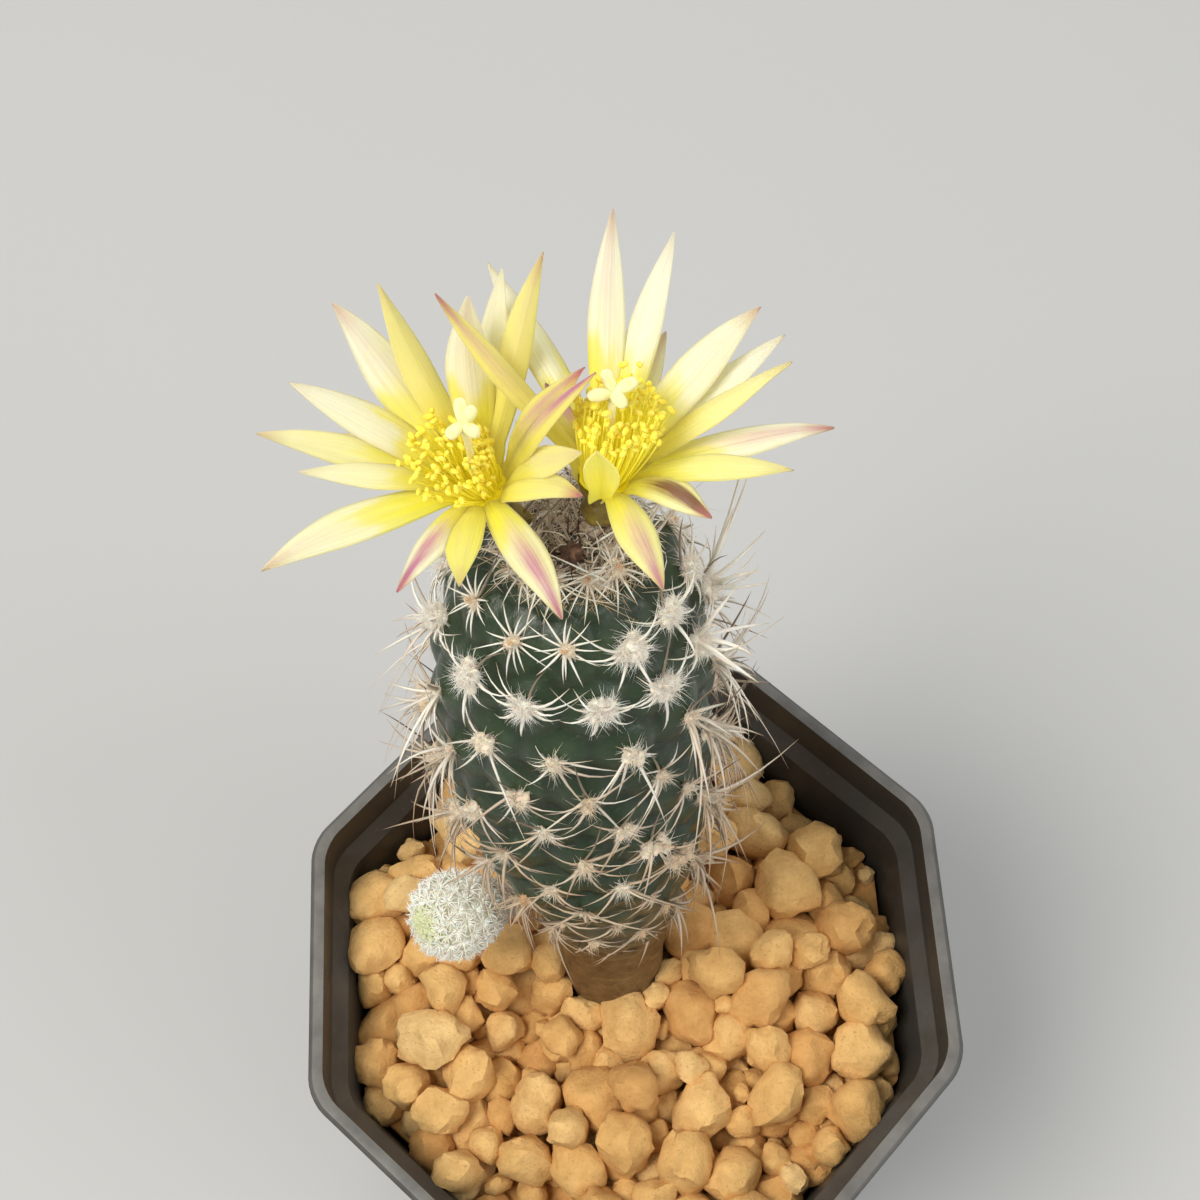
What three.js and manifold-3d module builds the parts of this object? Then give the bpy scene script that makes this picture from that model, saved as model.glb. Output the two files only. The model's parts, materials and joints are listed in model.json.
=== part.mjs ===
// A small club-shaped cactus with two open pale yellow flowers and one side shoot,
// growing in a black octagonal plastic pot filled with tan clay grains.
// Millimetres, +Z up, origin in the middle of the pot's underside, -Y towards the viewer.

import * as THREE from 'three';
import { mergeVertices } from 'three/addons/utils/BufferGeometryUtils.js';
import Module from 'manifold-3d';

// Pot
const potSides = 8;
const potAcrossFlats = 75;
const potHeight = 66;
const potFootAcrossFlats = 54;
const potWall = 1.3;
const potFloor = 2;
const potFootRise = 1.6;
const lipWidth = 1.7;
const collarHeight = 7.5;
const collarStep = 2;
const drainRadius = 4;
const sideDrainRadius = 2.2;
const sideDrainRing = 16;

// Clay grains
const clearance = 0.35;
const soilDepthBelowRim = 8.5;
const grainSpacing = 7.6;
const grainRadius = 4.3;
const grainScatter = 1.4;

// Main stem: heights are measured along its axis from the surface of the grains
const stemDepth = 9;
const stemHeight = 82.8;
const stemWay = [
  [-1.9, 0.5, 48.5],
  [-2.3, 4.4, 77],
  [-5.0, 10.4, 110],
  [-4.4, 15.6, 139.5],
];
const neckRadius = 6.1;
const stemFlank = [
  [6.3, 13],
  [7.1, 20],
  [9.0, 28],
  [11.2, 36.5],
  [12.3, 46],
  [12.5, 58],
  [11.7, 68.5],
  [9.4, 76],
  [7.2, 79.6],
  [4.6, 81.6],
];
const tuberclesAround = 12;
const tubercleRings = 12;
const bareRings = 2;
const tubercleRise = 1.5;
const ringTwist = 0.02;
const stemTurn = 0.26;

// Areoles: a woolly cushion with its ring of thin spines
const radialSpines = 5;
const radialLength = 4.3;
const radialLift = 1.5;
const cushionRadius = 0.72;
const cushionRise = 0.55;
const cushionRoot = 0.9;
const centralLength = 9.5;
const centralRadius = 0.34;

// Withered flower on the crown
const witheredFrom = [-4.4, 12.2, 139.8];
const witheredTo = [-4.9, 10.6, 144.6];
const witheredRadius = 1.3;
const crownGap = 0.6;
const cupRoomRadius = 4;

// Side shoot at the foot of the stem
const shootFrom = [-10.2, 6.6, 70];
const shootTo = [-22.6, 0.1, 79];
const shootRadius = 4.8;
const shootColumns = 7;
const shootRings = 6;
const shootSpines = 2;
const shootSpineLength = 2.2;
const shootSpineRadius = 0.3;

// Flowers: rims are the mouths of the throats, axes point out of them
const rimRadius = 2.7;
const throatRadius = 2.2;
const throatDepth = 4.2;
const petalCupDepth = 5;
const petalRootRadius = 2.45;
const petalRootDepth = 0.7;
const tubeRadius = 1.7;
const bladeThickness = 0.68;
const bladeChannel = 0.12;
const stamenRingHeight = 3.25;
const filamentCount = 17;
const filamentRadius = 0.27;
const antherRadius = 0.62;
const styleRadius = 0.42;
const styleLength = 14.2;
const lobeCount = 4;

// Each petal: azimuth and rise of its tip in degrees, length, width, and how much it arches
const flowers = {
  left: {
    rim: [-12.3, 16.5, 147.5],
    axis: [-0.05, -0.12, 1],
    root: [-8.4, 15.6, 139.4],
    brush: { height: 6.4, lean: [-1.5, 0.3] },
    petals: [
      [172, 20, 16.3, 3.0, 14],
      [156, 30, 15.3, 3.3, 12],
      [131, 30, 16.5, 4.2, 10],
      [117, 38, 16.0, 3.4, 10],
      [87, 55, 14.3, 4.4, 10],
      [77, 34, 15.3, 3.6, 10],
      [62, 44, 18.1, 3.4, 8],
      [17, 59, 15.2, 3.0, 24],
      [9, 60, 17.0, 3.2, 18],
      [345, 52, 11.5, 3.4, 22],
      [327, 45, 11.8, 3.6, 26],
      [295, 12, 13.6, 4.0, 26],
      [263, 30, 10.8, 3.6, 24],
      [243, 25, 12.0, 3.4, 26],
      [205, 7, 17.2, 3.8, 24],
      [184, 25, 12.8, 2.9, 14],
      [160, 5, 10.5, 2.8, 12],
    ],
  },
  right: {
    rim: [-1.4, 15.8, 149.5],
    axis: [0.06, 0.03, 1],
    root: [-2.3, 15.9, 141.4],
    brush: { height: 8.4, lean: [1.0, 0.8] },
    petals: [
      [149, 43, 18.6, 3.0, -2],
      [118, 16, 18.0, 4.0, 14],
      [88, 40, 19.1, 3.6, 6],
      [70, 38, 18.0, 3.6, 6],
      [64, 20, 10.2, 3.0, 10],
      [36, 32, 16.0, 4.0, 28],
      [28, 25, 16.0, 3.3, 12],
      [14, 35, 15.6, 3.2, 8],
      [3, 11, 16.7, 3.1, 16],
      [342, 25, 14.0, 2.9, 20],
      [322, 15, 8.2, 3.2, 40],
      [284, 13, 11.8, 4.0, 28],
      [258, 70, 14.0, 3.4, 8],
      [124, 20, 6.2, 2.6, 10],
    ],
  },
};

const degree = Math.PI / 180;
const seamTolerance = 0.03;

// A repeatable stream of random numbers between 0 and 1
function randomStream(seed) {
  let state = seed;
  return () => {
    state = (state * 1664525 + 1013904223) % 4294967296;
    return state / 4294967296;
  };
}

const wasm = await Module();
wasm.setup();

// Moves every vertex of a geometry to where place() puts it
function reshape(geometry, place) {
  const position = geometry.getAttribute('position');
  const point = new THREE.Vector3();
  for (let i = 0; i < position.count; i += 1) {
    point.fromBufferAttribute(position, i);
    const moved = place(point);
    position.setXYZ(i, moved.x, moved.y, moved.z);
  }
  return geometry;
}

// Turns a closed three.js geometry into a solid whose faces point outwards
function solid(geometry) {
  geometry.deleteAttribute('normal');
  geometry.deleteAttribute('uv');
  const merged = mergeVertices(geometry, 1e-4);
  const vertProperties = Float32Array.from(merged.getAttribute('position').array);
  const kept = [];
  const index = merged.getIndex().array;
  for (let i = 0; i < index.length; i += 3) {
    const [a, b, c] = [index[i], index[i + 1], index[i + 2]];
    if (a !== b && b !== c && c !== a) kept.push(a, b, c);
  }
  let volume = 0;
  const corner = (i) => new THREE.Vector3().fromArray(vertProperties, 3 * i);
  for (let i = 0; i < kept.length; i += 3) {
    volume += corner(kept[i]).dot(corner(kept[i + 1]).cross(corner(kept[i + 2])));
  }
  if (volume < 0) kept.reverse();
  const triVerts = Uint32Array.from(kept);
  return new wasm.Manifold(new wasm.Mesh({ numProp: 3, vertProperties, triVerts }));
}

// Joins solids, clears the slivers of their seams and keeps the main body, so that no loose
// scrap or sealed hollow stays
function grown(solids) {
  const bodies = wasm.Manifold.union(solids).simplify(seamTolerance).decompose();
  bodies.sort((a, b) => b.volume() - a.volume());
  return bodies[0];
}

function part(name, body, look) {
  const mesh = body.getMesh();
  const geometry = new THREE.BufferGeometry();
  geometry.setAttribute('position', new THREE.BufferAttribute(mesh.vertProperties, 3));
  geometry.setIndex(new THREE.BufferAttribute(mesh.triVerts, 1));
  geometry.computeVertexNormals();
  const piece = new THREE.Mesh(geometry, new THREE.MeshStandardMaterial(look));
  piece.name = name;
  return piece;
}

// A lathe solid about +Z from [radius, height] pairs
function turned(profile, segments, turn = 0) {
  const points = profile.map(([radius, height]) => new THREE.Vector2(radius, height));
  return new THREE.LatheGeometry(points, segments, turn).rotateX(Math.PI / 2);
}

// A frame whose third axis is the given direction, with its first axis as near +X as it can be
function frameAlong(direction) {
  const z = direction.clone().normalize();
  const x = new THREE.Vector3(1, 0, 0).addScaledVector(z, -z.x).normalize();
  const y = new THREE.Vector3().crossVectors(z, x);
  return { x, y, z };
}

function inFrame(origin, frame, x, y, z) {
  const point = origin.clone().addScaledVector(frame.x, x);
  return point.addScaledVector(frame.y, y).addScaledVector(frame.z, z);
}

// Bends what stands on the Z axis along a curve, its heights becoming distances on the curve;
// what hangs below the origin goes straight on before the start of the curve
function bentAlong(geometry, curve) {
  const length = curve.getLength();
  return reshape(geometry, (p) => {
    const u = THREE.MathUtils.clamp(p.z / length, 0, 1);
    const frame = frameAlong(curve.getTangentAt(u));
    return inFrame(curve.getPointAt(u), frame, p.x, p.y, Math.min(p.z, 0));
  });
}

// A three-sided needle from one point to another
function needle(from, to, radius) {
  const length = from.distanceTo(to);
  const cone = new THREE.ConeGeometry(radius, length, 3, 1).rotateX(Math.PI / 2);
  cone.translate(0, 0, length / 2);
  const frame = frameAlong(to.clone().sub(from));
  return solid(reshape(cone, (p) => inFrame(from, frame, p.x, p.y, p.z)));
}

// Pot: an octagon with sloping sides, a stepped collar, a hollow foot and drain holes
function flatToCorner(distance) {
  return distance / Math.cos(Math.PI / potSides);
}

function octagonal(profile) {
  const corners = profile.map(([flat, height]) => [flatToCorner(flat), height]);
  return solid(turned(corners, potSides, Math.PI / potSides));
}

const potHalf = potAcrossFlats / 2;
const footHalf = potFootAcrossFlats / 2;
const collarFoot = potHeight - collarHeight;
const wallTopHalf = potHalf - lipWidth - collarStep + potWall;

function innerWallAt(height) {
  const share = (height - potFloor - potFootRise) / (collarFoot - potFloor - potFootRise);
  return THREE.MathUtils.lerp(footHalf, wallTopHalf, share) - potWall;
}

function makePot() {
  const floorTop = potFootRise + potFloor;
  const shell = octagonal([
    [0, potFootRise],
    [footHalf - 3, potFootRise],
    [footHalf - 3.6, 0],
    [footHalf - 0.8, 0],
    [footHalf, 0.8],
    [wallTopHalf, collarFoot - 1],
    [potHalf - 0.5, collarFoot],
    [potHalf, potHeight - 0.5],
    [potHalf - 0.5, potHeight],
    [potHalf - lipWidth, potHeight],
    [potHalf - lipWidth - 0.3, collarFoot + 2],
    [innerWallAt(collarFoot), collarFoot],
    [innerWallAt(floorTop), floorTop],
    [0, floorTop],
  ]);
  let pot = shell;
  const drill = (radius, x, y) => {
    const hole = new THREE.CylinderGeometry(radius, radius, 4 * floorTop, 8).rotateX(Math.PI / 2);
    pot = pot.subtract(solid(hole.translate(x, y, 0)));
  };
  drill(drainRadius, 0, 0);
  for (let side = 0; side < potSides; side += 1) {
    const angle = (side * 2 * Math.PI) / potSides;
    drill(sideDrainRadius, sideDrainRing * Math.cos(angle), sideDrainRing * Math.sin(angle));
  }
  return pot;
}

// Main stem: a turned club, its tubercles raised in staggered rings, bent along its way
const soilTop = potHeight - soilDepthBelowRim;
const stemCurve = new THREE.CatmullRomCurve3(stemWay.map((p) => new THREE.Vector3(...p)));
const flankCurve = new THREE.SplineCurve(stemFlank.map((p) => new THREE.Vector2(...p)));
const flankRows = 2 * tubercleRings;
const stemColumns = 2 * tuberclesAround;

function bumpAt(column, row) {
  const ring = Math.round(row / 2);
  if (row % 2 === 1) return 0.25;
  return (column + ring) % 2 === 0 ? 1 : 0;
}

function stemSurface(column, row, rise) {
  const u = row / flankRows;
  const onFlank = flankCurve.getPointAt(u);
  const slope = flankCurve.getTangentAt(u);
  const turn = stemTurn + (2 * Math.PI * column) / stemColumns + ringTwist * row;
  const outward = new THREE.Vector2(slope.y, -slope.x);
  const radius = onFlank.x + rise * outward.x;
  const along = stemDepth + onFlank.y + rise * outward.y;
  const total = stemCurve.getLength();
  const share = along / total;
  const frame = frameAlong(stemCurve.getTangentAt(share));
  const [c, s] = [Math.cos(turn), Math.sin(turn)];
  const point = inFrame(stemCurve.getPointAt(share), frame, radius * c, radius * s, 0);
  const zero = new THREE.Vector3();
  const normal = inFrame(zero, frame, outward.x * c, outward.x * s, outward.y);
  const side = inFrame(zero, frame, -s, c, 0);
  return { point, frame: { x: side, y: new THREE.Vector3().crossVectors(normal, side), z: normal } };
}

function makeStemBody() {
  const profile = [[0, 0], [neckRadius - 0.6, 0], [neckRadius, stemDepth], [neckRadius, 2 * stemDepth]];
  const neckRows = profile.length;
  for (let row = 0; row <= flankRows; row += 1) {
    const p = flankCurve.getPointAt(row / flankRows);
    profile.push([p.x, stemDepth + p.y]);
  }
  const last = profile[profile.length - 1];
  profile.push([last[0] * 0.55, THREE.MathUtils.lerp(last[1], stemDepth + stemHeight, 0.75)]);
  profile.push([0, stemDepth + stemHeight]);
  const body = turned(profile, stemColumns);
  const rowsPerColumn = profile.length;
  const position = body.getAttribute('position');
  const total = stemCurve.getLength();
  for (let i = 0; i < position.count; i += 1) {
    const row = (i % rowsPerColumn) - neckRows;
    const column = Math.floor(i / rowsPerColumn) % stemColumns;
    const [radius, height] = profile[i % rowsPerColumn];
    let point;
    if (row >= 0 && row <= flankRows) {
      point = stemSurface(column, row, tubercleRise * bumpAt(column, row)).point;
    } else {
      const turn = stemTurn + (2 * Math.PI * column) / stemColumns + (row > 0 ? ringTwist * flankRows : 0);
      const share = height / total;
      const frame = frameAlong(stemCurve.getTangentAt(share));
      const at = stemCurve.getPointAt(share);
      point = inFrame(at, frame, radius * Math.cos(turn), radius * Math.sin(turn), 0);
    }
    position.setXYZ(i, point.x, point.y, point.z);
  }
  return solid(body);
}

// One areole: a cushion whose rim is drawn out into spines, each in the gap of its neighbours
function areole(at, size, random) {
  const star = new THREE.SphereGeometry(1, 2 * radialSpines, 2);
  const phase = 0.3 + 0.35 * random();
  const someLength = () => radialLength * size * (0.88 + 0.24 * random());
  const lengths = Array.from({ length: radialSpines }, someLength);
  return solid(reshape(star, (p) => {
    if (p.y > 0.5) return inFrame(at.point, at.frame, 0, 0, cushionRise);
    if (p.y < -0.5) return inFrame(at.point, at.frame, 0, 0, -cushionRoot);
    const turn = Math.atan2(p.z, p.x);
    const step = Math.round((turn / Math.PI) * radialSpines + 2 * radialSpines) % (2 * radialSpines);
    const isSpine = step % 2 === 1;
    const reach = isSpine ? lengths[(step - 1) / 2] : cushionRadius;
    const lift = isSpine ? radialLift * size : 0;
    const angle = turn + phase;
    return inFrame(at.point, at.frame, reach * Math.cos(angle), reach * Math.sin(angle), lift);
  }));
}

// The whole stem, with room left round what stands on its crown
function makeStem(room) {
  const random = randomStream(11);
  const solids = [makeStemBody()];
  for (let ring = 0; ring <= tubercleRings; ring += 1) {
    for (let step = 0; step < tuberclesAround; step += 1) {
      const column = 2 * step + (ring % 2);
      const at = stemSurface(column, 2 * ring, tubercleRise);
      const size = Math.min(0.35 + 0.15 * ring, 1);
      const crowded = ring === tubercleRings && step % 2 === 1;
      if (ring >= bareRings && !crowded) solids.push(areole(at, size, random));
      const withCentral = ring > 3 && ring < tubercleRings - 2 && (step + 2 * ring) % 4 === 0;
      if (withCentral) {
        const lean = at.frame.z.clone().multiplyScalar(0.8).addScaledVector(at.frame.y, 0.6).normalize();
        const root = at.point.clone().addScaledVector(lean, -0.8);
        const tip = at.point.clone().addScaledVector(lean, centralLength * size * (0.8 + 0.3 * random()));
        solids.push(needle(root, tip, centralRadius));
      }
    }
  }
  return grown([grown(solids).subtract(room)]);
}

// Grains: a bed of clay with a plain hole for the stem, its top covered with rough lumps
function makeSoil() {
  const random = randomStream(5);
  const bedTop = soilTop - grainRadius * 0.55;
  const bedFoot = potFootRise + potFloor + clearance;
  const bed = octagonal([
    [0, bedFoot],
    [innerWallAt(bedFoot) - clearance, bedFoot],
    [innerWallAt(bedTop) - clearance, bedTop],
    [0, bedTop],
  ]);
  const solids = [bed];
  const rowHeight = grainSpacing * Math.sin(60 * degree);
  const reach = innerWallAt(bedTop) - clearance - 0.75 * grainRadius;
  const rows = Math.ceil(potHalf / rowHeight);
  for (let row = -rows; row <= rows; row += 1) {
    for (let column = -rows; column <= rows; column += 1) {
      const shift = row % 2 === 0 ? 0 : grainSpacing / 2;
      const x = column * grainSpacing + shift + grainScatter * (random() - 0.5);
      const y = row * rowHeight + grainScatter * (random() - 0.5);
      const diagonal = (Math.abs(x) + Math.abs(y)) / Math.SQRT2;
      const size = grainRadius * (0.72 + 0.5 * random());
      const squash = [1, 0.8 + 0.2 * random(), 0.7 + 0.15 * random()];
      const turn = new THREE.Euler(random() * 6, random() * 6, random() * 6);
      const drop = random();
      if (Math.max(Math.abs(x), Math.abs(y), diagonal) > reach) continue;
      const grain = new THREE.IcosahedronGeometry(size, 0).scale(...squash);
      grain.applyMatrix4(new THREE.Matrix4().makeRotationFromEuler(turn));
      solids.push(solid(grain.translate(x, y, bedTop + 0.1 * size + 0.5 * drop)));
    }
  }
  const holeRadius = neckRadius + clearance;
  const holeTop = 2 * stemDepth;
  const hole = bentAlong(turned([
    [0, -clearance],
    [holeRadius, -clearance],
    [holeRadius, stemDepth],
    [holeRadius, holeTop],
    [0, holeTop],
  ], stemColumns), stemCurve);
  return grown([grown(solids).subtract(solid(hole))]);
}

// Side shoot: a small club on a thin neck, white with short spines
function makeShoot() {
  const random = randomStream(23);
  const from = new THREE.Vector3(...shootFrom);
  const to = new THREE.Vector3(...shootTo);
  const length = from.distanceTo(to);
  const frame = frameAlong(to.clone().sub(from));
  const neck = [[0, 0], [0.16, 0], [0.13, 0.1], [0.2, 0.22]];
  const head = [[0.52, 0.34], [0.82, 0.52], [1, 0.72], [0.93, 0.88], [0.55, 0.98]];
  const sized = ([radius, along]) => [radius * shootRadius, along * length];
  const profile = [...neck, ...head, [0, 0.97]].map(sized);
  const body = reshape(turned(profile, 2 * shootColumns), (p) => inFrame(from, frame, p.x, p.y, p.z));
  const solids = [solid(body)];
  const flank = new THREE.SplineCurve(head.map((pair) => new THREE.Vector2(...sized(pair))));
  for (let ring = 0; ring < shootRings; ring += 1) {
    const u = ring / (shootRings - 1);
    const p = flank.getPointAt(u);
    const slope = flank.getTangentAt(u);
    for (let step = 0; step < shootColumns; step += 1) {
      const turn = (2 * Math.PI * (step + 0.5 * (ring % 2))) / shootColumns;
      const [c, s] = [Math.cos(turn), Math.sin(turn)];
      const foot = inFrame(from, frame, p.x * c, p.x * s, p.y);
      const zero = new THREE.Vector3();
      const normal = inFrame(zero, frame, slope.y * c, slope.y * s, -slope.x);
      const side = inFrame(zero, frame, -s, c, 0);
      const up = new THREE.Vector3().crossVectors(normal, side);
      for (let spine = 0; spine < shootSpines; spine += 1) {
        const fan = (spine / shootSpines + 0.3 * random()) * 2 * Math.PI;
        const way = normal.clone().addScaledVector(side, Math.cos(fan)).addScaledVector(up, Math.sin(fan));
        way.normalize();
        const root = foot.clone().addScaledVector(way, 0.35).addScaledVector(normal, -0.75);
        const tip = root.clone().addScaledVector(way, shootSpineLength);
        solids.push(needle(root, tip, shootSpineRadius));
      }
    }
  }
  return grown(solids);
}

// A lance-shaped petal, thin at its edges, arched up from the rim and out to its tip
function petal(origin, frame, [azimuth, rise, length, width, arch]) {
  const [c, s] = [Math.cos(azimuth * degree), Math.sin(azimuth * degree)];
  const direction = (angle) => inFrame(
    new THREE.Vector3(),
    frame,
    Math.cos(angle * degree) * c,
    Math.cos(angle * degree) * s,
    Math.sin(angle * degree),
  );
  const rim = inFrame(origin, frame, rimRadius * c, rimRadius * s, 0);
  const tip = rim.clone().addScaledVector(direction(rise), length);
  const bend = rim.clone().addScaledVector(direction(rise + arch), 0.52 * length);
  const root = inFrame(origin, frame, petalRootRadius * c, petalRootRadius * s, -petalRootDepth);
  const midline = new THREE.QuadraticBezierCurve3(root, bend, tip);
  const across = inFrame(new THREE.Vector3(), frame, -s, c, 0);
  const blade = new THREE.ConeGeometry(1, 1, 4, 5).translate(0, 0.5, 0);
  return solid(reshape(blade, (p) => {
    const u = p.y;
    const radius = Math.hypot(p.x, p.z);
    const turn = radius > 1e-6 ? Math.atan2(p.z, p.x) : 0;
    const spread = Math.sin(Math.PI * (0.1 + 0.9 * u) ** 1.4) ** 0.8;
    const full = radius > 1e-6 ? 1 : 0;
    const halfWidth = 0.5 * width * Math.max(spread, 0.02) * full;
    const halfThick = 0.5 * bladeThickness * (1 - 0.45 * u) * full;
    const tangent = midline.getTangent(u);
    const normal = new THREE.Vector3().crossVectors(across, tangent).normalize();
    const point = midline.getPoint(u).addScaledVector(across, halfWidth * Math.cos(turn));
    const raised = 2 * bladeChannel * halfWidth * Math.abs(Math.cos(turn));
    return point.addScaledVector(normal, halfThick * Math.sin(turn) + raised);
  }));
}

// Floral tube from the crown of the stem up to the foot of the cup, thicker by a margin
function floralTube(flower, margin) {
  const axis = new THREE.Vector3(...flower.axis).normalize();
  const root = new THREE.Vector3(...flower.root);
  const top = new THREE.Vector3(...flower.rim).addScaledVector(axis, -petalCupDepth - clearance);
  const below = top.clone().addScaledVector(axis, -0.4 * top.distanceTo(root));
  const way = new THREE.QuadraticBezierCurve3(root, below, top);
  const length = way.getLength();
  return solid(bentAlong(turned([
    [0, -margin],
    [0.8 * tubeRadius + margin, -margin],
    [tubeRadius + margin, 0.35 * length],
    [0.9 * tubeRadius + margin, 0.8 * length],
    [0.85 * tubeRadius + margin, length],
    [0, length],
  ], 10), way));
}

// A plain rod between two points
function rod(from, to, radius, sides) {
  const length = from.distanceTo(to);
  const frame = frameAlong(to.clone().sub(from));
  const cylinder = new THREE.CylinderGeometry(radius, radius, length, sides).rotateX(Math.PI / 2);
  return solid(reshape(cylinder.translate(0, 0, length / 2), (p) => inFrame(from, frame, p.x, p.y, p.z)));
}

// The space that the flowers and the withered flower take up above the crown
function crownRoom() {
  const rooms = [];
  for (const flower of Object.values(flowers)) {
    const rim = new THREE.Vector3(...flower.rim);
    const axis = new THREE.Vector3(...flower.axis).normalize();
    rooms.push(floralTube(flower, crownGap));
    const below = rim.clone().addScaledVector(axis, -petalCupDepth - crownGap);
    rooms.push(rod(below, rim, cupRoomRadius, 8));
  }
  const from = new THREE.Vector3(...witheredFrom);
  const to = new THREE.Vector3(...witheredTo);
  rooms.push(rod(from, to, witheredRadius + crownGap, 8));
  return wasm.Manifold.union(rooms);
}

// Withered flower: a dry, twisted tube with folds
function makeWithered() {
  const from = new THREE.Vector3(...witheredFrom);
  const to = new THREE.Vector3(...witheredTo);
  const length = from.distanceTo(to);
  const frame = frameAlong(to.clone().sub(from));
  const husk = turned([[0, 0], [0.6, 0], [1, 0.3], [0.75, 0.7], [0.9, 1], [0, 0.9]], 10);
  return solid(reshape(husk, (p) => {
    const turn = Math.atan2(p.y, p.x) + 1.1 * p.z;
    const fold = 0.82 + 0.18 * Math.cos(5 * Math.atan2(p.y, p.x));
    const radius = Math.hypot(p.x, p.y) * witheredRadius * fold;
    const up = clearance + p.z * (length - clearance);
    return inFrame(from, frame, radius * Math.cos(turn), radius * Math.sin(turn), up);
  }));
}

function makeFlower(flower, side, seed) {
  const random = randomStream(seed);
  const rim = new THREE.Vector3(...flower.rim);
  const axis = new THREE.Vector3(...flower.axis).normalize();
  const frame = frameAlong(axis);
  const cupFoot = rim.clone().addScaledVector(axis, -petalCupDepth);
  const place = (p) => inFrame(cupFoot, frame, p.x, p.y, p.z);

  // Cup and petals
  const cup = reshape(turned([
    [0, 0],
    [0.85 * tubeRadius, 0],
    [rimRadius - 0.2, petalCupDepth * 0.6],
    [rimRadius + 0.15, petalCupDepth],
    [throatRadius, petalCupDepth],
    [throatRadius - 0.5, petalCupDepth - 0.6 * throatDepth],
    [throatRadius - 0.8, petalCupDepth - throatDepth],
    [0, petalCupDepth - throatDepth],
  ], 10), place);
  const petals = flower.petals.map((row) => petal(rim, frame, row));

  // Stamens: a ring at the bottom of the throat with its filaments and anthers
  const ringFoot = petalCupDepth - throatDepth + clearance;
  const ringTop = ringFoot + stamenRingHeight;
  const holeRadius = styleRadius + clearance;
  const ring = reshape(turned([
    [holeRadius, ringFoot],
    [holeRadius + 0.12, ringFoot],
    [holeRadius + 0.4, ringTop],
    [holeRadius, ringTop],
    [holeRadius, ringFoot],
  ], 8), place);
  const stamens = [solid(ring)];
  for (let i = 0; i < filamentCount; i += 1) {
    const share = Math.sqrt((i + 0.5) / filamentCount);
    const turn = i * 137.5 * degree;
    const reach = 1.2 + 2.4 * share + 0.3 * random();
    const height = petalCupDepth + flower.brush.height - 1.6 * share + 0.8 * random();
    const [leanX, leanY] = flower.brush.lean;
    const foot = ringTop - 0.3 - 0.6 * share;
    const from = place(new THREE.Vector3(0.9 * Math.cos(turn), 0.9 * Math.sin(turn), foot));
    const x = reach * Math.cos(turn) + leanX * share;
    const y = reach * Math.sin(turn) + leanY * share;
    const to = place(new THREE.Vector3(x, y, height));
    const out = to.clone().sub(from).normalize();
    stamens.push(needle(from, to.clone().addScaledVector(out, 0.25), filamentRadius));
    const anther = new THREE.OctahedronGeometry(antherRadius).scale(1, 1, 1.35);
    stamens.push(solid(anther.translate(to.x, to.y, to.z)));
  }

  // Style with its open lobes
  const style = turned([[0, 0], [styleRadius, 0], [0.8 * styleRadius, styleLength], [0, styleLength]], 6);
  const pistil = [solid(reshape(style.translate(0, 0, ringFoot), place))];
  for (let i = 0; i < lobeCount; i += 1) {
    const lobe = new THREE.SphereGeometry(1, 5, 4).scale(1.35, 0.5, 0.42);
    lobe.rotateY(-0.3 + 0.25 * random()).translate(1.2, 0, 0);
    lobe.rotateZ((i / lobeCount) * 2 * Math.PI + 0.5 * random() + seed);
    lobe.translate(0, 0, ringFoot + styleLength);
    pistil.push(solid(reshape(lobe, place)));
  }

  return [
    part(`flower_${side}_tube`, floralTube(flower, 0), tubeLook),
    part(`flower_${side}_petals`, grown([solid(cup), ...petals]), petalLook),
    part(`flower_${side}_stamens`, grown(stamens), stamenLook),
    part(`flower_${side}_stigma`, grown(pistil), stigmaLook),
  ];
}

const potLook = { color: 0x3a3934, roughness: 0.55, metalness: 0 };
const soilLook = { color: 0xdeb06e, roughness: 0.95, metalness: 0 };
const stemLook = { color: 0x46604e, roughness: 0.6, metalness: 0 };
const witheredLook = { color: 0x4a2a1c, roughness: 0.85, metalness: 0 };
const shootLook = { color: 0xd9d9cd, roughness: 0.8, metalness: 0 };
const tubeLook = { color: 0x6f6a34, roughness: 0.6, metalness: 0 };
const petalLook = { color: 0xf1e98f, roughness: 0.5, metalness: 0 };
const stamenLook = { color: 0xf4cf12, roughness: 0.7, metalness: 0 };
const stigmaLook = { color: 0xf8f2bc, roughness: 0.6, metalness: 0 };

const group = new THREE.Group();
group.add(part('pot', makePot(), potLook));
group.add(part('soil', makeSoil(), soilLook));
group.add(part('stem', makeStem(crownRoom()), stemLook));
group.add(part('side_shoot', makeShoot(), shootLook));
group.add(part('withered_flower', makeWithered(), witheredLook));
group.add(...makeFlower(flowers.left, 'left', 31));
group.add(...makeFlower(flowers.right, 'right', 47));

export default group;
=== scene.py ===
import bisect
import json
import math
import random

import bmesh
import bpy
from mathutils import Euler, Matrix, Vector, kdtree, noise

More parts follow.
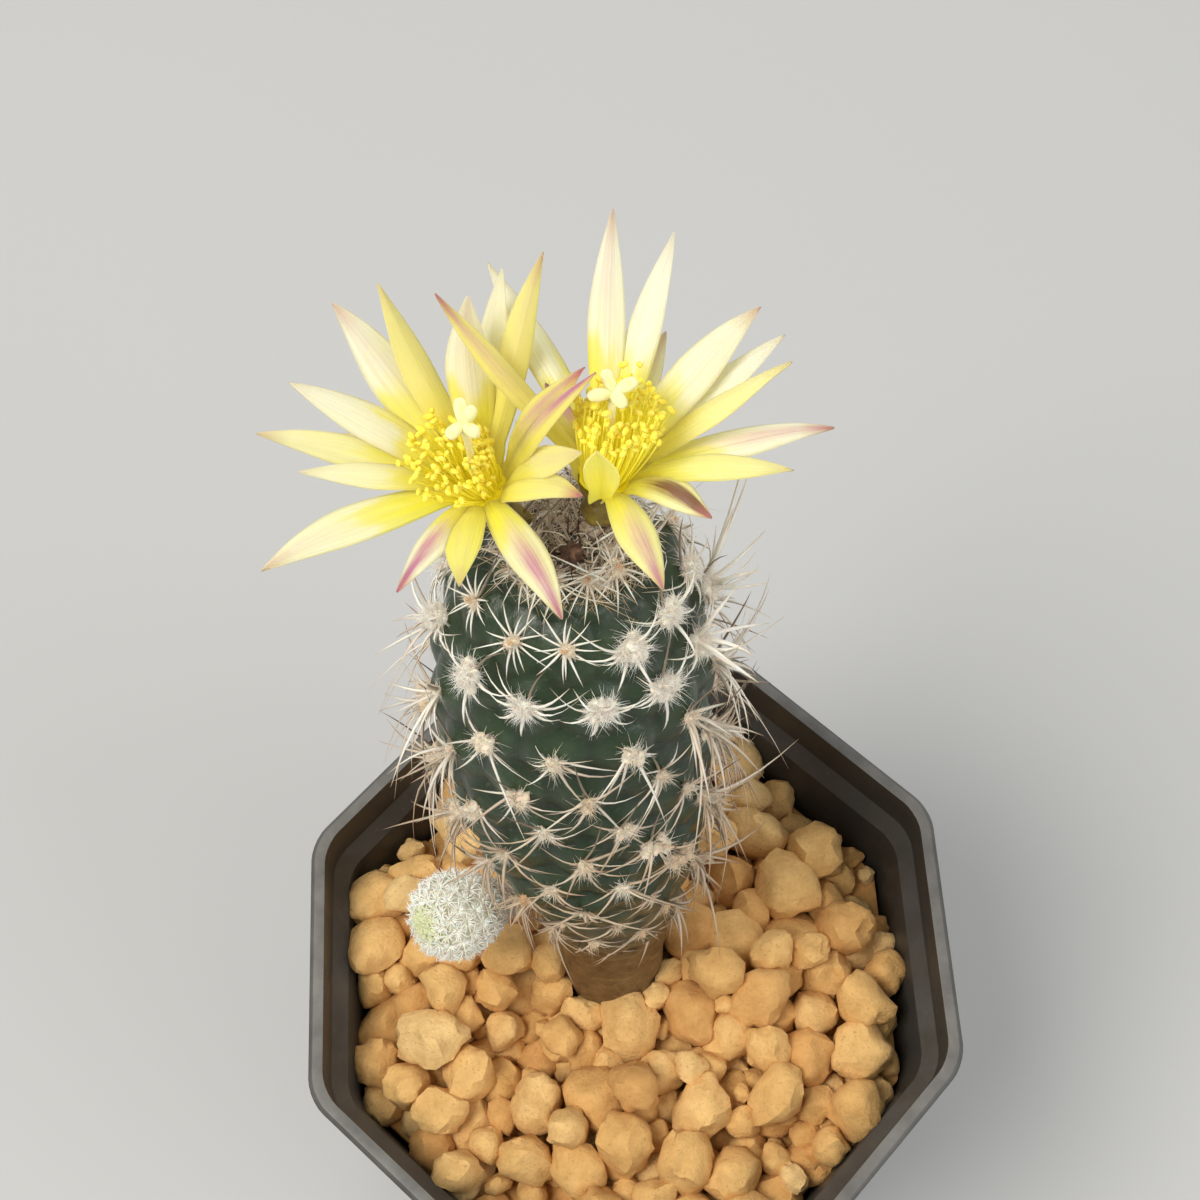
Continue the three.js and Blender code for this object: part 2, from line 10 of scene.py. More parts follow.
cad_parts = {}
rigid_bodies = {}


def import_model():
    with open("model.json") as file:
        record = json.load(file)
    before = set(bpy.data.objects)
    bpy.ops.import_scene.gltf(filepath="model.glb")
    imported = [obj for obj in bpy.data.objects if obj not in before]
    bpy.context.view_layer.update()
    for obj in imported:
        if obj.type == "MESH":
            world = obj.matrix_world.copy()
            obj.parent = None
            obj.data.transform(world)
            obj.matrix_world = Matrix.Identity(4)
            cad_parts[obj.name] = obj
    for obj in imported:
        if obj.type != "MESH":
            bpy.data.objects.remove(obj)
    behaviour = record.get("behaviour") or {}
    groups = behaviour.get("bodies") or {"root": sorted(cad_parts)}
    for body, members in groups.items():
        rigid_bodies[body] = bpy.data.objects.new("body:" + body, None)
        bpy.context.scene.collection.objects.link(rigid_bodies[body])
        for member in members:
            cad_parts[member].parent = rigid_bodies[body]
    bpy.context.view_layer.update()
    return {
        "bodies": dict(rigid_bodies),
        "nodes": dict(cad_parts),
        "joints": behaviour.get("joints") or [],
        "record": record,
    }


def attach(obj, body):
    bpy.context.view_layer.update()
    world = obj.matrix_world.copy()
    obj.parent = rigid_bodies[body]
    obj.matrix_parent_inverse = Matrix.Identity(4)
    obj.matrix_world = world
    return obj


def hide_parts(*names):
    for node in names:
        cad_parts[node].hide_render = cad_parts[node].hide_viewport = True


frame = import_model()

mm = 0.001


# Pot
# An octagonal nursery pot, moulded in one piece from black plastic, with a rounded lip, a stepped
# collar, a hollow foot and drain holes. It is drawn up from its underside ring by ring, over the lip
# and down the inside, then drilled.
pot_half = 37.5 * mm
pot_height = 66 * mm
pot_wall = 1.3 * mm
foot_half = 27 * mm
foot_edge = 0.8 * mm
foot_ring = 3.6 * mm
underside_half = foot_half - 3 * mm
underside_height = 1.6 * mm
floor_top = 3.6 * mm
lip_width = 1.7 * mm
lip_round = 0.5 * mm
lip_slope = 0.3 * mm
collar_foot = 58.5 * mm
collar_half = pot_half - lip_width - 0.7 * mm
collar_step = 1 * mm
inner_step = 2 * mm
corner_round = 2.4 * mm
middle_drain = 4 * mm
side_drain = 2.2 * mm
drain_circle = 16 * mm
drill_length = 12 * mm
edge_round = 0.3 * mm
same_place = 0.01 * mm


def inner_half(height):
    share = (height - floor_top) / (collar_foot - floor_top)
    return foot_half + (collar_half - foot_half) * share - pot_wall


def corner_of(half):
    """How far an octagon's corners stand from its middle, where its sides are half away"""
    return half / math.cos(math.pi / 8)


def take(piece):
    """Selects this piece alone and makes it the one that the tools work on"""
    bpy.ops.object.select_all(action="DESELECT")
    bpy.context.view_layer.objects.active = piece
    piece.select_set(True)


def start_editing(piece):
    take(piece)
    bpy.ops.object.mode_set(mode="EDIT")
    bpy.ops.mesh.select_mode(type="VERT")
    bpy.ops.mesh.select_all(action="DESELECT")


def pick_points(piece, wanted):
    """Selects the vertices of a piece in edit mode that wanted() says yes to"""
    bpy.ops.mesh.select_all(action="DESELECT")
    shape = bmesh.from_edit_mesh(piece.data)
    for point in shape.verts:
        point.select = wanted(point.co)
    shape.select_flush(True)
    bmesh.update_edit_mesh(piece.data)


def draw_up(width, height, rings):
    """Draws the selected ring, of this width and height, up through rings of other widths and heights"""
    for next_width, next_height in rings:
        bpy.ops.mesh.extrude_region_move(TRANSFORM_OT_translate={"value": (0, 0, next_height - height)})
        share = next_width / width
        bpy.ops.transform.resize(value=(share, share, 1), center_override=(0, 0, next_height))
        width, height = next_width, next_height


def apply_modifiers(piece):
    take(piece)
    for modifier in list(piece.modifiers):
        bpy.ops.object.modifier_apply(modifier=modifier.name)


def refine(piece):
    """Rounds a piece off with one level of subdivision"""
    fine = piece.modifiers.new("fine", "SUBSURF")
    fine.levels = fine.render_levels = 1
    apply_modifiers(piece)


def close_and_turn_out(piece):
    start_editing(piece)
    bpy.ops.mesh.select_all(action="SELECT")
    bpy.ops.mesh.remove_doubles(threshold=0.002 * mm)
    bpy.ops.mesh.normals_make_consistent(inside=False)
    bpy.ops.object.mode_set(mode="OBJECT")


def finish(piece, name, material, nodes=(), sharp=None):
    """Names a piece, dresses it, sets its place into its mesh and hangs it on the object"""
    piece.name = name
    piece.data.name = name
    piece.data.materials.clear()
    piece.data.materials.append(material)
    take(piece)
    bpy.ops.object.transform_apply(location=True, rotation=True, scale=True)
    if sharp is None:
        bpy.ops.object.shade_smooth()
    else:
        bpy.ops.object.shade_smooth_by_angle(angle=math.radians(sharp))
    piece.select_set(False)
    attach(piece, "root")
    if nodes:
        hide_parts(*nodes)


class Finish:
    """A material whose pattern is built up from nodes around one principled shader"""

    def __init__(self, name, roughness, **sockets):
        self.material = bpy.data.materials.new(name)
        self.material.use_nodes = True
        self.tree = self.material.node_tree
        self.shader = self.tree.nodes["Principled BSDF"]
        self.shader.inputs["Roughness"].default_value = roughness
        for socket, value in sockets.items():
            self.shader.inputs[socket.replace("_", " ")].default_value = value
        self.place = self.node("ShaderNodeTexCoord").outputs["Object"]

    def node(self, kind, **settings):
        made = self.tree.nodes.new(kind)
        for setting, value in settings.items():
            setattr(made, setting, value)
        return made

    def feed(self, socket, value):
        if isinstance(value, bpy.types.NodeSocket):
            self.tree.links.new(value, socket)
        else:
            socket.default_value = value

    def noise(self, scale, detail=4.0, roughness=0.55, at=None):
        made = self.node("ShaderNodeTexNoise")
        self.feed(made.inputs["Vector"], at or self.place)
        made.inputs["Scale"].default_value = scale
        made.inputs["Detail"].default_value = detail
        made.inputs["Roughness"].default_value = roughness
        return made.outputs["Fac"]

    def ramp(self, factor, *stops):
        made = self.node("ShaderNodeValToRGB")
        bar = made.color_ramp.elements
        while len(bar) < len(stops):
            bar.new(0.5)
        for mark, (position, colour) in zip(bar, stops):
            mark.position = position
            grey = isinstance(colour, (int, float))
            mark.color = (colour, colour, colour, 1) if grey else (*colour, 1)
        self.feed(made.inputs["Fac"], factor)
        return made.outputs["Color"]

    def mix(self, factor, first, second, blend="MIX"):
        made = self.node("ShaderNodeMix", data_type="RGBA", blend_type=blend)
        self.feed(made.inputs["Factor"], factor)
        for socket, value in ((made.inputs[6], first), (made.inputs[7], second)):
            self.feed(socket, (*value, 1) if isinstance(value, tuple) else value)
        return made.outputs[2]

    def sum(self, operation, first, second=0.0, third=0.0):
        made = self.node("ShaderNodeMath", operation=operation)
        for socket, value in zip(made.inputs, (first, second, third)):
            self.feed(socket, value)
        return made.outputs[0]

    def value(self, name):
        """A number that the mesh carries for each of its points"""
        return self.node("ShaderNodeAttribute", attribute_name=name).outputs["Fac"]

    def parts(self, vector):
        made = self.node("ShaderNodeSeparateXYZ")
        self.feed(made.inputs[0], vector)
        return made.outputs

    def rise(self, value, low, high):
        """Grows from 0 to 1 while value goes from low to high"""
        made = self.node("ShaderNodeMapRange")
        self.feed(made.inputs["Value"], value)
        made.inputs["From Min"].default_value = low
        made.inputs["From Max"].default_value = high
        return made.outputs[0]

    def clamp(self, value):
        made = self.node("ShaderNodeClamp")
        self.feed(made.inputs["Value"], value)
        return made.outputs[0]

    def colour(self, value):
        self.feed(self.shader.inputs["Base Color"], value)

    def roughness(self, value):
        self.feed(self.shader.inputs["Roughness"], value)

    def bump(self, height, distance, strength=1.0, over=None):
        made = self.node("ShaderNodeBump")
        made.inputs["Strength"].default_value = strength
        made.inputs["Distance"].default_value = distance
        self.feed(made.inputs["Height"], height)
        if over:
            self.feed(made.inputs["Normal"], over)
        self.feed(self.shader.inputs["Normal"], made.outputs["Normal"])
        return made.outputs["Normal"]


bpy.ops.object.select_all(action="DESELECT")
bpy.ops.mesh.primitive_circle_add(
    vertices=8,
    radius=corner_of(underside_half),
    location=(0, 0, underside_height),
    rotation=(0, 0, math.pi / 8),
)
pot = bpy.context.object
bpy.ops.object.transform_apply(location=True, rotation=True)
start_editing(pot)
bpy.ops.mesh.select_all(action="SELECT")
bpy.ops.mesh.bevel(offset=corner_round * underside_half / pot_half, segments=5, affect="VERTICES")
bpy.ops.mesh.select_all(action="SELECT")
draw_up(underside_half, underside_height, [
    (foot_half - foot_ring, 0),
    (foot_half - foot_edge, 0),
    (foot_half, foot_edge),
    (collar_half, collar_foot - collar_step),
    (pot_half - lip_round, collar_foot),
    (pot_half, pot_height - lip_round),
    (pot_half - lip_round, pot_height),
    (pot_half - lip_width, pot_height),
    (pot_half - lip_width - lip_slope, collar_foot + inner_step),
    (inner_half(collar_foot), collar_foot),
    (inner_half(floor_top), floor_top),
])
bpy.ops.mesh.edge_face_add()
underside_reach = corner_of(underside_half) + same_place
pick_points(pot, lambda co: abs(co.z - underside_height) < same_place and co.xy.length < underside_reach)
bpy.ops.mesh.edge_face_add()
bpy.ops.object.mode_set(mode="OBJECT")
close_and_turn_out(pot)

drains = [(middle_drain, 0, 0)]
for side in range(8):
    turn = side * math.pi / 4
    drains.append((side_drain, drain_circle * math.cos(turn), drain_circle * math.sin(turn)))
for radius, x, y in drains:
    bpy.ops.mesh.primitive_cylinder_add(
        vertices=32, radius=radius, depth=drill_length, location=(x, y, 2 * mm)
    )
    drill = bpy.context.object
    cut = pot.modifiers.new("drain", "BOOLEAN")
    cut.operation = "DIFFERENCE"
    cut.solver = "EXACT"
    cut.object = drill
    apply_modifiers(pot)
    bpy.data.objects.remove(drill, do_unlink=True)
rounding = pot.modifiers.new("rounding", "BEVEL")
rounding.limit_method = "ANGLE"
rounding.angle_limit = math.radians(28)
rounding.width = edge_round
rounding.segments = 3
apply_modifiers(pot)

black_plastic = Finish("black_plastic", 0.42)
plastic_tone = black_plastic.ramp(
    black_plastic.noise(90, 3), (0.3, (0.022, 0.021, 0.019)), (0.75, (0.04, 0.038, 0.034))
)
# Faces that look up are mixed toward a lighter grey: partly dust, and partly a painted sheen of the light
# above on the lip's flat top.
lean = black_plastic.parts(black_plastic.node("ShaderNodeNewGeometry").outputs["Normal"])
film = black_plastic.ramp(black_plastic.noise(240, 5, 0.6), (0.3, 0.35), (0.7, 0.75))
lying = black_plastic.ramp(lean["Z"], (0.5, 0.06), (0.95, 1.0))
dust_and_sheen = black_plastic.sum("MULTIPLY", film, lying)
specks = black_plastic.ramp(black_plastic.noise(1500, 4, 0.7), (0.62, 0.0), (0.74, 0.25))
dust_and_sheen = black_plastic.sum("ADD", dust_and_sheen, specks)
dust_and_sheen = black_plastic.sum("MULTIPLY", dust_and_sheen, 0.75)
black_plastic.colour(black_plastic.mix(dust_and_sheen, plastic_tone, (0.3, 0.285, 0.26)))
black_plastic.roughness(black_plastic.ramp(black_plastic.noise(160, 5), (0.3, 0.36), (0.7, 0.55)))
black_plastic.bump(black_plastic.noise(1400, 4), 0.05 * mm, 0.35)
finish(pot, "pot_shell", black_plastic.material, ("pot",), sharp=32)


# Clay grains
# Baked clay grains from the size of a pea down to crumbs, poured in loose round the stem to a little
# below the lip. Some lumps are modelled, copied, and settled onto each other over a bed of clay.
bed_foot = floor_top + 0.35 * mm
bed_top = 50.5 * mm
bed_gap = 0.4 * mm
grain_kinds = 9
grain_count = 400
grain_spread = 31 * mm
grain_sink = 0.25 * mm
grain_closeness = 0.86
largest_grain = 5 * mm
stem_hole = 6.0 * mm
stem_foot = Vector((-2.1, 1.7, 57.5)) * mm
whole_turn = 6.28


def shape_of(piece):
    """The points and faces of a modelled shape, taken out of the scene to be copied"""
    points = [point.co.copy() for point in piece.data.vertices]
    faces = [tuple(face.vertices) for face in piece.data.polygons]
    bpy.data.objects.remove(piece, do_unlink=True)
    return points, faces


class Heap:
    """Copies of small shapes gathered into one mesh, with a number or two for each copy"""

    def __init__(self):
        self.points = []
        self.faces = []
        self.values = {}

    def add(self, points, faces, **values):
        start = len(self.points)
        self.points.extend(points)
        self.faces.extend(tuple(start + i for i in face) for face in faces)
        for name, value in values.items():
            run = value if isinstance(value, list) else [value] * len(points)
            self.values.setdefault(name, []).extend(run)

    def piece(self, name):
        mesh = bpy.data.meshes.new(name)
        mesh.from_pydata(self.points, [], self.faces)
        for value, numbers in self.values.items():
            mesh.attributes.new(value, "FLOAT", "POINT").data.foreach_set("value", numbers)
        mesh.update()
        made = bpy.data.objects.new(name, mesh)
        bpy.context.collection.objects.link(made)
        return made


def any_way(chance):
    """A direction that any side is as likely for"""
    return Vector((chance.gauss(0, 1), chance.gauss(0, 1), chance.gauss(0, 1))).normalized()


def any_tilt(chance):
    return Euler([chance.uniform(0, whole_turn) for _ in range(3)]).to_matrix()


def clay_lump(seed):
    """A rough ball of clay with a few worn flats"""
    chance = random.Random(seed)
    bpy.ops.mesh.primitive_ico_sphere_add(subdivisions=3, radius=1)
    lump = bpy.context.object
    flats = []
    for _ in range(6):
        flats.append((any_way(chance), chance.uniform(0.7, 0.92)))
    shift = Vector((seed * 7.3, seed * 1.7, 0))
    for point in lump.data.vertices:
        co = point.co * (1 + 0.3 * noise.noise(point.co * 1.1 + shift))
        for way, reach in flats:
            over = co.dot(way) - reach
            if over > 0:
                co -= way * over * 0.7
        dents = 0.16 * noise.noise(point.co * 2.4 + shift)
        grit = 0.08 * noise.noise(point.co * 5.5 + shift)
        point.co = co * (1 + dents + grit)
    return shape_of(lump)


def octagon_reach(x, y):
    return max(abs(x), abs(y), (abs(x) + abs(y)) / math.sqrt(2))


def settle(grains, rounds):
    """Lets grains sink and push each other aside, inside the pot and round the stem"""
    for _ in range(rounds):
        tree = kdtree.KDTree(len(grains))
        for i, (place, _) in enumerate(grains):
            tree.insert(place, i)
        tree.balance()
        for i, (place, radius) in enumerate(grains):
            place.z -= grain_sink
            for _, j, gap in tree.find_range(place, radius + largest_grain):
                neighbour, neighbour_radius = grains[j]
                room = grain_closeness * (radius + neighbour_radius)
                if j == i or gap >= room or gap < 1e-7:
                    continue
                place += (place - neighbour).normalized() * (room - gap) * 0.5
            wall = inner_half(min(place.z, collar_foot)) - 0.8 * radius
            reach = octagon_reach(place.x, place.y)
            if reach > wall:
                place.x *= wall / reach
                place.y *= wall / reach
            away = Vector((place.x - stem_foot.x, place.y - stem_foot.y))
            if away.length < stem_hole + 0.6 * radius:
                away = away.normalized() * (stem_hole + 0.6 * radius)
                place.x, place.y = stem_foot.x + away.x, stem_foot.y + away.y
            place.z = max(place.z, bed_top + 0.3 * radius)


lumps = [clay_lump(seed) for seed in range(1, grain_kinds + 1)]
chance = random.Random(8)
grains = []
while len(grains) < grain_count:
    x, y = chance.uniform(-1, 1) * grain_spread, chance.uniform(-1, 1) * grain_spread
    radius = (1.3 + 2.7 * chance.random() ** 1.4) * mm
    if octagon_reach(x, y) < grain_spread:
        grains.append((Vector((x, y, chance.uniform(52, 66) * mm)), radius))
settle(grains, 90)

heap = Heap()
for place, radius in grains:
    points, faces = chance.choice(lumps)
    tilt = any_tilt(chance)
    stretch = Matrix.Diagonal((1.12, chance.uniform(0.9, 1.1), chance.uniform(0.78, 0.98)))
    heap.add([place + tilt @ (stretch @ point) * radius for point in points], faces, tone=chance.random())
clay_grains = heap.piece("clay_grains")

bpy.ops.object.select_all(action="DESELECT")
bpy.ops.mesh.primitive_cylinder_add(
    vertices=8,
    radius=corner_of(inner_half(bed_foot) - bed_gap),
    depth=bed_top - bed_foot,
    location=(0, 0, (bed_top + bed_foot) / 2),
    rotation=(0, 0, math.pi / 8),
)
clay_bed = bpy.context.object
bpy.ops.object.transform_apply(location=True, rotation=True)
start_editing(clay_bed)
pick_points(clay_bed, lambda co: co.z > bed_top - same_place)
widening = inner_half(bed_top) / inner_half(bed_foot)
bpy.ops.transform.resize(value=(widening, widening, 1), center_override=(0, 0, bed_top))
bpy.ops.object.mode_set(mode="OBJECT")
edge = clay_bed.modifiers.new("edge", "BEVEL")
edge.width = 0.6 * mm
edge.segments = 2
apply_modifiers(clay_bed)

baked_clay = Finish("baked_clay", 0.95)
body = baked_clay.ramp(
    baked_clay.value("tone"),
    (0.0, (0.66, 0.36, 0.12)), (0.35, (0.76, 0.46, 0.165)),
    (0.7, (0.82, 0.52, 0.2)), (1.0, (0.86, 0.6, 0.27)),
)
patches = baked_clay.ramp(
    baked_clay.noise(420, 6, 0.65), (0.3, (0.8, 0.74, 0.64)), (0.65, (1.05, 1.04, 1.02))
)
body = baked_clay.mix(1.0, body, patches, "MULTIPLY")
pores = baked_clay.ramp(baked_clay.noise(2600, 3, 0.7), (0.26, 0.0), (0.42, 1.0))
body = baked_clay.mix(pores, (0.46, 0.25, 0.085), body)
baked_clay.colour(body)
grit = baked_clay.bump(baked_clay.noise(2400, 6, 0.7), 0.22 * mm, 0.8)
baked_clay.bump(baked_clay.noise(700, 5, 0.6), 0.4 * mm, 0.6, over=grit)
finish(clay_bed, "clay_bed", baked_clay.material, ("soil",), sharp=30)
finish(clay_grains, "clay_grains", baked_clay.material, sharp=38)


# Stem
# The living club of the cactus: a corky brown neck that widens into a dark green body with low
# tubercles in staggered rings. It is drawn up straight from a ring, its tubercles are raised, and it
# is then bent along the way the plant leans.
stem_depth = 9 * mm
neck_radius = 6.1 * mm
foot_radius = neck_radius - 0.6 * mm
neck_flare = 0.016
neck_top = 12.5 * mm
neck_fade = 7 * mm
crown_height = 82.4 * mm
crown_fade = 2 * mm
crown_cap = [(3.4, 82.3), (1.8, 82.7)]
rings = 12
around = 12
stem_turn = 0.26
ring_twist = 0.02
tubercle_rise = 1.5 * mm
tubercle_reach = 4.2 * mm
uphill_stretch = 0.85
cork_relief = 0.45 * mm
skin_relief = 0.12 * mm
stem_columns = 144
stem_rows = 168
flank_marks = 400


class Way:
    """A smooth curve through given points, asked for the place and direction at a distance"""

    def __init__(self, corners, steps=60):
        corners = [Vector(corner) * mm for corner in corners]
        ends = [2 * corners[0] - corners[1], *corners, 2 * corners[-1] - corners[-2]]
        self.points = []
        for a, b, c, d in zip(ends, ends[1:], ends[2:], ends[3:]):
            for step in range(steps):
                t = step / steps
                square, cube = t * t, t * t * t
                point = 2 * b + (c - a) * t
                point += (2 * a - 5 * b + 4 * c - d) * square
                point += (3 * b - a - 3 * c + d) * cube
                self.points.append(point / 2)
        self.points.append(corners[-1])
        self.marks = [0.0]
        for a, b in zip(self.points, self.points[1:]):
            self.marks.append(self.marks[-1] + (b - a).length)
        self.length = self.marks[-1]

    def at(self, distance):
        low = min(max(bisect.bisect_right(self.marks, distance) - 1, 0), len(self.points) - 2)
        a, b = self.points[low], self.points[low + 1]
        share = (distance - self.marks[low]) / (self.marks[low + 1] - self.marks[low])
        return a + (b - a) * share, (b - a).normalized()


def across(direction):
    """Two directions square to the given one, the first as near the X axis as it can be"""
    side = Vector((1, 0, 0)) - direction * direction.x
    side.normalize()
    return side, direction.cross(side)


stem_way = Way([(-1.9, 0.5, 48.5), (-2.3, 4.4, 77), (-5.0, 10.4, 110), (-4.4, 15.6, 139.5)])
flank = Way([
    (6.3, 0, 13), (7.1, 0, 20), (9.0, 0, 28), (11.2, 0, 36.5), (12.3, 0, 46),
    (12.5, 0, 58), (11.7, 0, 68.5), (9.4, 0, 76), (7.2, 0, 79.6), (4.6, 0, 81.6),
])


def on_stem(turn, radius, along):
    place, direction = stem_way.at(along)
    side, back = across(direction)
    return place + side * (radius * math.cos(turn)) + back * (radius * math.sin(turn))


def stem_skin(turn, distance, rise):
    """A point on the flank of the stem, raised by rise, with its frame: side, up and out"""
    on_flank, slope = flank.at(distance)
    place, direction = stem_way.at(stem_depth + on_flank.z)
    side, back = across(direction)
    outward = side * math.cos(turn) + back * math.sin(turn)
    out = outward * slope.z - direction * slope.x
    point = place + outward * on_flank.x + out * rise
    around_it = back * math.cos(turn) - side * math.sin(turn)
    return point, around_it, out.cross(around_it), out


def areole_turn(ring, step):
    return stem_turn + 2 * math.pi * (2 * step + ring % 2) / (2 * around) + ring_twist * 2 * ring


def tubercle_height(turn, distance):
    """How far the skin stands out here: a rounded hill under each areole, with a crease between"""
    spacing = flank.length / rings
    step_angle = 2 * math.pi / around
    radius = flank.at(min(max(distance, 0), flank.length))[0].x
    reach = tubercle_reach * min(1.0, 0.45 + radius / (18 * mm))
    nearest = int(distance / spacing)
    best = 0.0
    for ring in range(max(nearest - 1, 0), min(nearest + 2, rings) + 1):
        off = (turn - areole_turn(ring, 0)) % step_angle
        off = min(off, step_angle - off)
        past = distance - ring * spacing
        gap = math.hypot(off * radius, past * (1.0 if past > 0 else uphill_stretch)) / reach
        if gap < 1:
            best = max(best, 1 - gap ** 1.75)
    return best


bpy.ops.object.select_all(action="DESELECT")
bpy.ops.mesh.primitive_circle_add(vertices=stem_columns, radius=foot_radius)
stem = bpy.context.object
start_editing(stem)
bpy.ops.mesh.select_all(action="SELECT")
outline = []
for rise in range(0, 13, 2):
    outline.append((neck_radius + neck_flare * rise * mm, stem_depth + rise * mm))
for row in range(stem_rows + 1):
    on_flank = flank.at(flank.length * row / stem_rows)[0]
    outline.append((on_flank.x, stem_depth + on_flank.z))
for radius, rise in crown_cap:
    outline.append((radius * mm, stem_depth + rise * mm))
draw_up(foot_radius, 0, outline)
bpy.ops.mesh.edge_face_add()
pick_points(stem, lambda co: co.z < same_place)
bpy.ops.mesh.edge_face_add()
bpy.ops.object.mode_set(mode="OBJECT")
close_and_turn_out(stem)

flank_heights = [flank.at(flank.length * mark / flank_marks)[0].z for mark in range(flank_marks + 1)]
hill = []
for point in stem.data.vertices:
    turn, radius = math.atan2(point.co.y, point.co.x), point.co.xy.length
    height = point.co.z
    up_flank = height - stem_depth
    distance = flank.length * bisect.bisect_left(flank_heights, up_flank - 1e-7) / flank_marks
    low = min(max((up_flank - neck_top) / neck_fade, 0), 1)
    high = min(max((crown_height - up_flank) / crown_fade, 0), 1)
    lift = tubercle_height(turn, distance) if low > 0 else 0.0
    round_it = Vector((math.cos(turn), math.sin(turn), height * 160))
    rough = cork_relief * (1 - low) * noise.noise(round_it * 2.5)
    rough += skin_relief * noise.noise(Vector((round_it.x * 3, round_it.y * 3, height * 300)))
    hill.append(lift * low)
    point.co = on_stem(turn, radius + tubercle_rise * lift * low * high + rough, height)
stem.data.attributes.new("hill", "FLOAT", "POINT").data.foreach_set("value", hill)

stem_look = Finish("stem_skin", 0.42, Subsurface_Weight=0.06, Subsurface_Scale=1 * mm)
height = stem_look.parts(stem_look.place)["Z"]
uneven_height = stem_look.sum("MULTIPLY_ADD", stem_look.noise(160, 4), 10 * mm, height)
cork = stem_look.ramp(
    stem_look.noise(700, 6, 0.7),
    (0.3, (0.045, 0.022, 0.008)), (0.55, (0.14, 0.075, 0.028)), (0.8, (0.27, 0.17, 0.09)),
)
leaf = stem_look.ramp(
    stem_look.noise(240, 5),
    (0.3, (0.015, 0.031, 0.012)), (0.55, (0.026, 0.05, 0.021)), (0.8, (0.055, 0.088, 0.043)),
)
# Painted shade: the skin is darkened toward near-black green in the creases between the tubercles, and kept
# lighter on the hill tops.
hill_top = stem_look.ramp(stem_look.value("hill"), (0.1, 0.0), (0.65, 1.0))
leaf = stem_look.mix(hill_top, (0.006, 0.013, 0.005), leaf)
worn = stem_look.ramp(stem_look.noise(900, 4, 0.6), (0.62, 0.0), (0.74, 0.35))
leaf = stem_look.mix(worn, leaf, (0.16, 0.19, 0.12))
faded = stem_look.mix(stem_look.noise(300, 4), (0.05, 0.055, 0.028), (0.13, 0.11, 0.062))
skin = stem_look.mix(stem_look.rise(uneven_height, 75 * mm, 88 * mm), cork, faded)
skin = stem_look.mix(stem_look.rise(uneven_height, 86 * mm, 102 * mm), skin, leaf)
stem_look.colour(skin)
stem_look.roughness(stem_look.ramp(stem_look.noise(500, 4), (0.3, 0.26), (0.7, 0.46)))
waxy = stem_look.bump(stem_look.noise(3200, 3), 0.04 * mm, 0.5)
stem_look.bump(stem_look.noise(520, 6, 0.65), 0.35 * mm, 0.5, over=waxy)
finish(stem, "stem_body", stem_look.material, ("stem",))


# Spines
# Horny needles that grow from each areole. The young areoles near the crown carry even white stars,
# the older ones fewer and stouter spines that curl, and some have a long thin brown spine in their
# middle. One needle is modelled and copied, and every copy is bent its own way.
grown_out = (0, 2, 8, 9, 10)
crown_count = 15
crown_spread = 6.4 * mm
crown_droop = 1.6 * mm
spine_root = 0.3 * mm
central_radius = 0.15 * mm
golden = math.pi * (3 - math.sqrt(5))


def draw_from_ring(name, sides, outline):
    """A shape drawn up from its first ring through the others, each a width and a height"""
    bpy.ops.object.select_all(action="DESELECT")
    bpy.ops.mesh.primitive_circle_add(vertices=sides, radius=outline[0][0], fill_type="NGON")
    drawn = bpy.context.object
    drawn.name = name
    start_editing(drawn)
    bpy.ops.mesh.select_all(action="SELECT")
    draw_up(*outline[0], outline[1:])
    bpy.ops.object.mode_set(mode="OBJECT")
    return drawn


def drawn_out(name, sides, taper):
    """A shape one unit long, drawn out from a ring in even steps that narrow as taper says"""
    step = 1 / (len(taper) - 1)
    return draw_from_ring(name, sides, [(width, i * step) for i, width in enumerate(taper)])


spine_shape = shape_of(drawn_out("spine", 4, [1.0, 0.96, 0.88, 0.76, 0.6, 0.38, 0.06]))
hair_shape = shape_of(drawn_out("hair", 3, [1.0, 0.8, 0.15]))


def bent_copy(shape, root, way, length, width, pull, late=2.0):
    """A copy of a drawn-out shape from root along way, its far end pulled off to one side"""
    points, faces = shape
    side, back = across(way)
    placed = []
    for point in points:
        t = point.z
        centre = root + way * (length * t) + pull * (length * t ** late)
        placed.append(centre + side * (point.x * width) + back * (point.y * width))
    return placed, faces


def along_of(shape):
    return [point.z for point in shape[0]]


class Areole:
    """Where spines and wool grow, with its frame, its age from 0 to 1, and whether it is a star"""

    def __init__(self, frame, age, star, size):
        self.place, self.side, self.up, self.out = frame
        self.age = age
        self.star = star
        self.size = size
        self.white = 0.05 < age < 0.2 and not star
        self.burst = self.white and self.place.x > 6 * mm
        self.sideways_on = abs(self.out.x) > 0.75

    def flat(self, turn):
        return self.side * math.cos(turn) + self.up * math.sin(turn)


chance = random.Random(21)
areoles = []
for ring in range(1, rings + 1):
    for step in range(around):
        turn = areole_turn(ring, step) + chance.uniform(-0.04, 0.04)
        distance = min(flank.length * ring / rings + chance.uniform(-0.5, 0.5) * mm, flank.length)
        rise = tubercle_rise * (0.97 if ring > 1 else 0.4)
        size = min(0.5 + 0.09 * ring, 1.0)
        star = ring == rings or ring == rings - 1 and step not in grown_out
        areoles.append(Areole(stem_skin(turn, distance, rise), (rings - ring) / rings, star, size))

crown_middle, crown_axis = stem_way.at(stem_depth + 82.6 * mm)
crown_side, crown_back = across(crown_axis)


def on_crown(turn, spread, reach, droop, lift):
    """The outward direction at a turn, and a point on the domed crown that far out"""
    outward = crown_side * math.cos(turn) + crown_back * math.sin(turn)
    return outward, crown_middle + outward * (reach * spread) - crown_axis * (droop * spread * spread - lift)


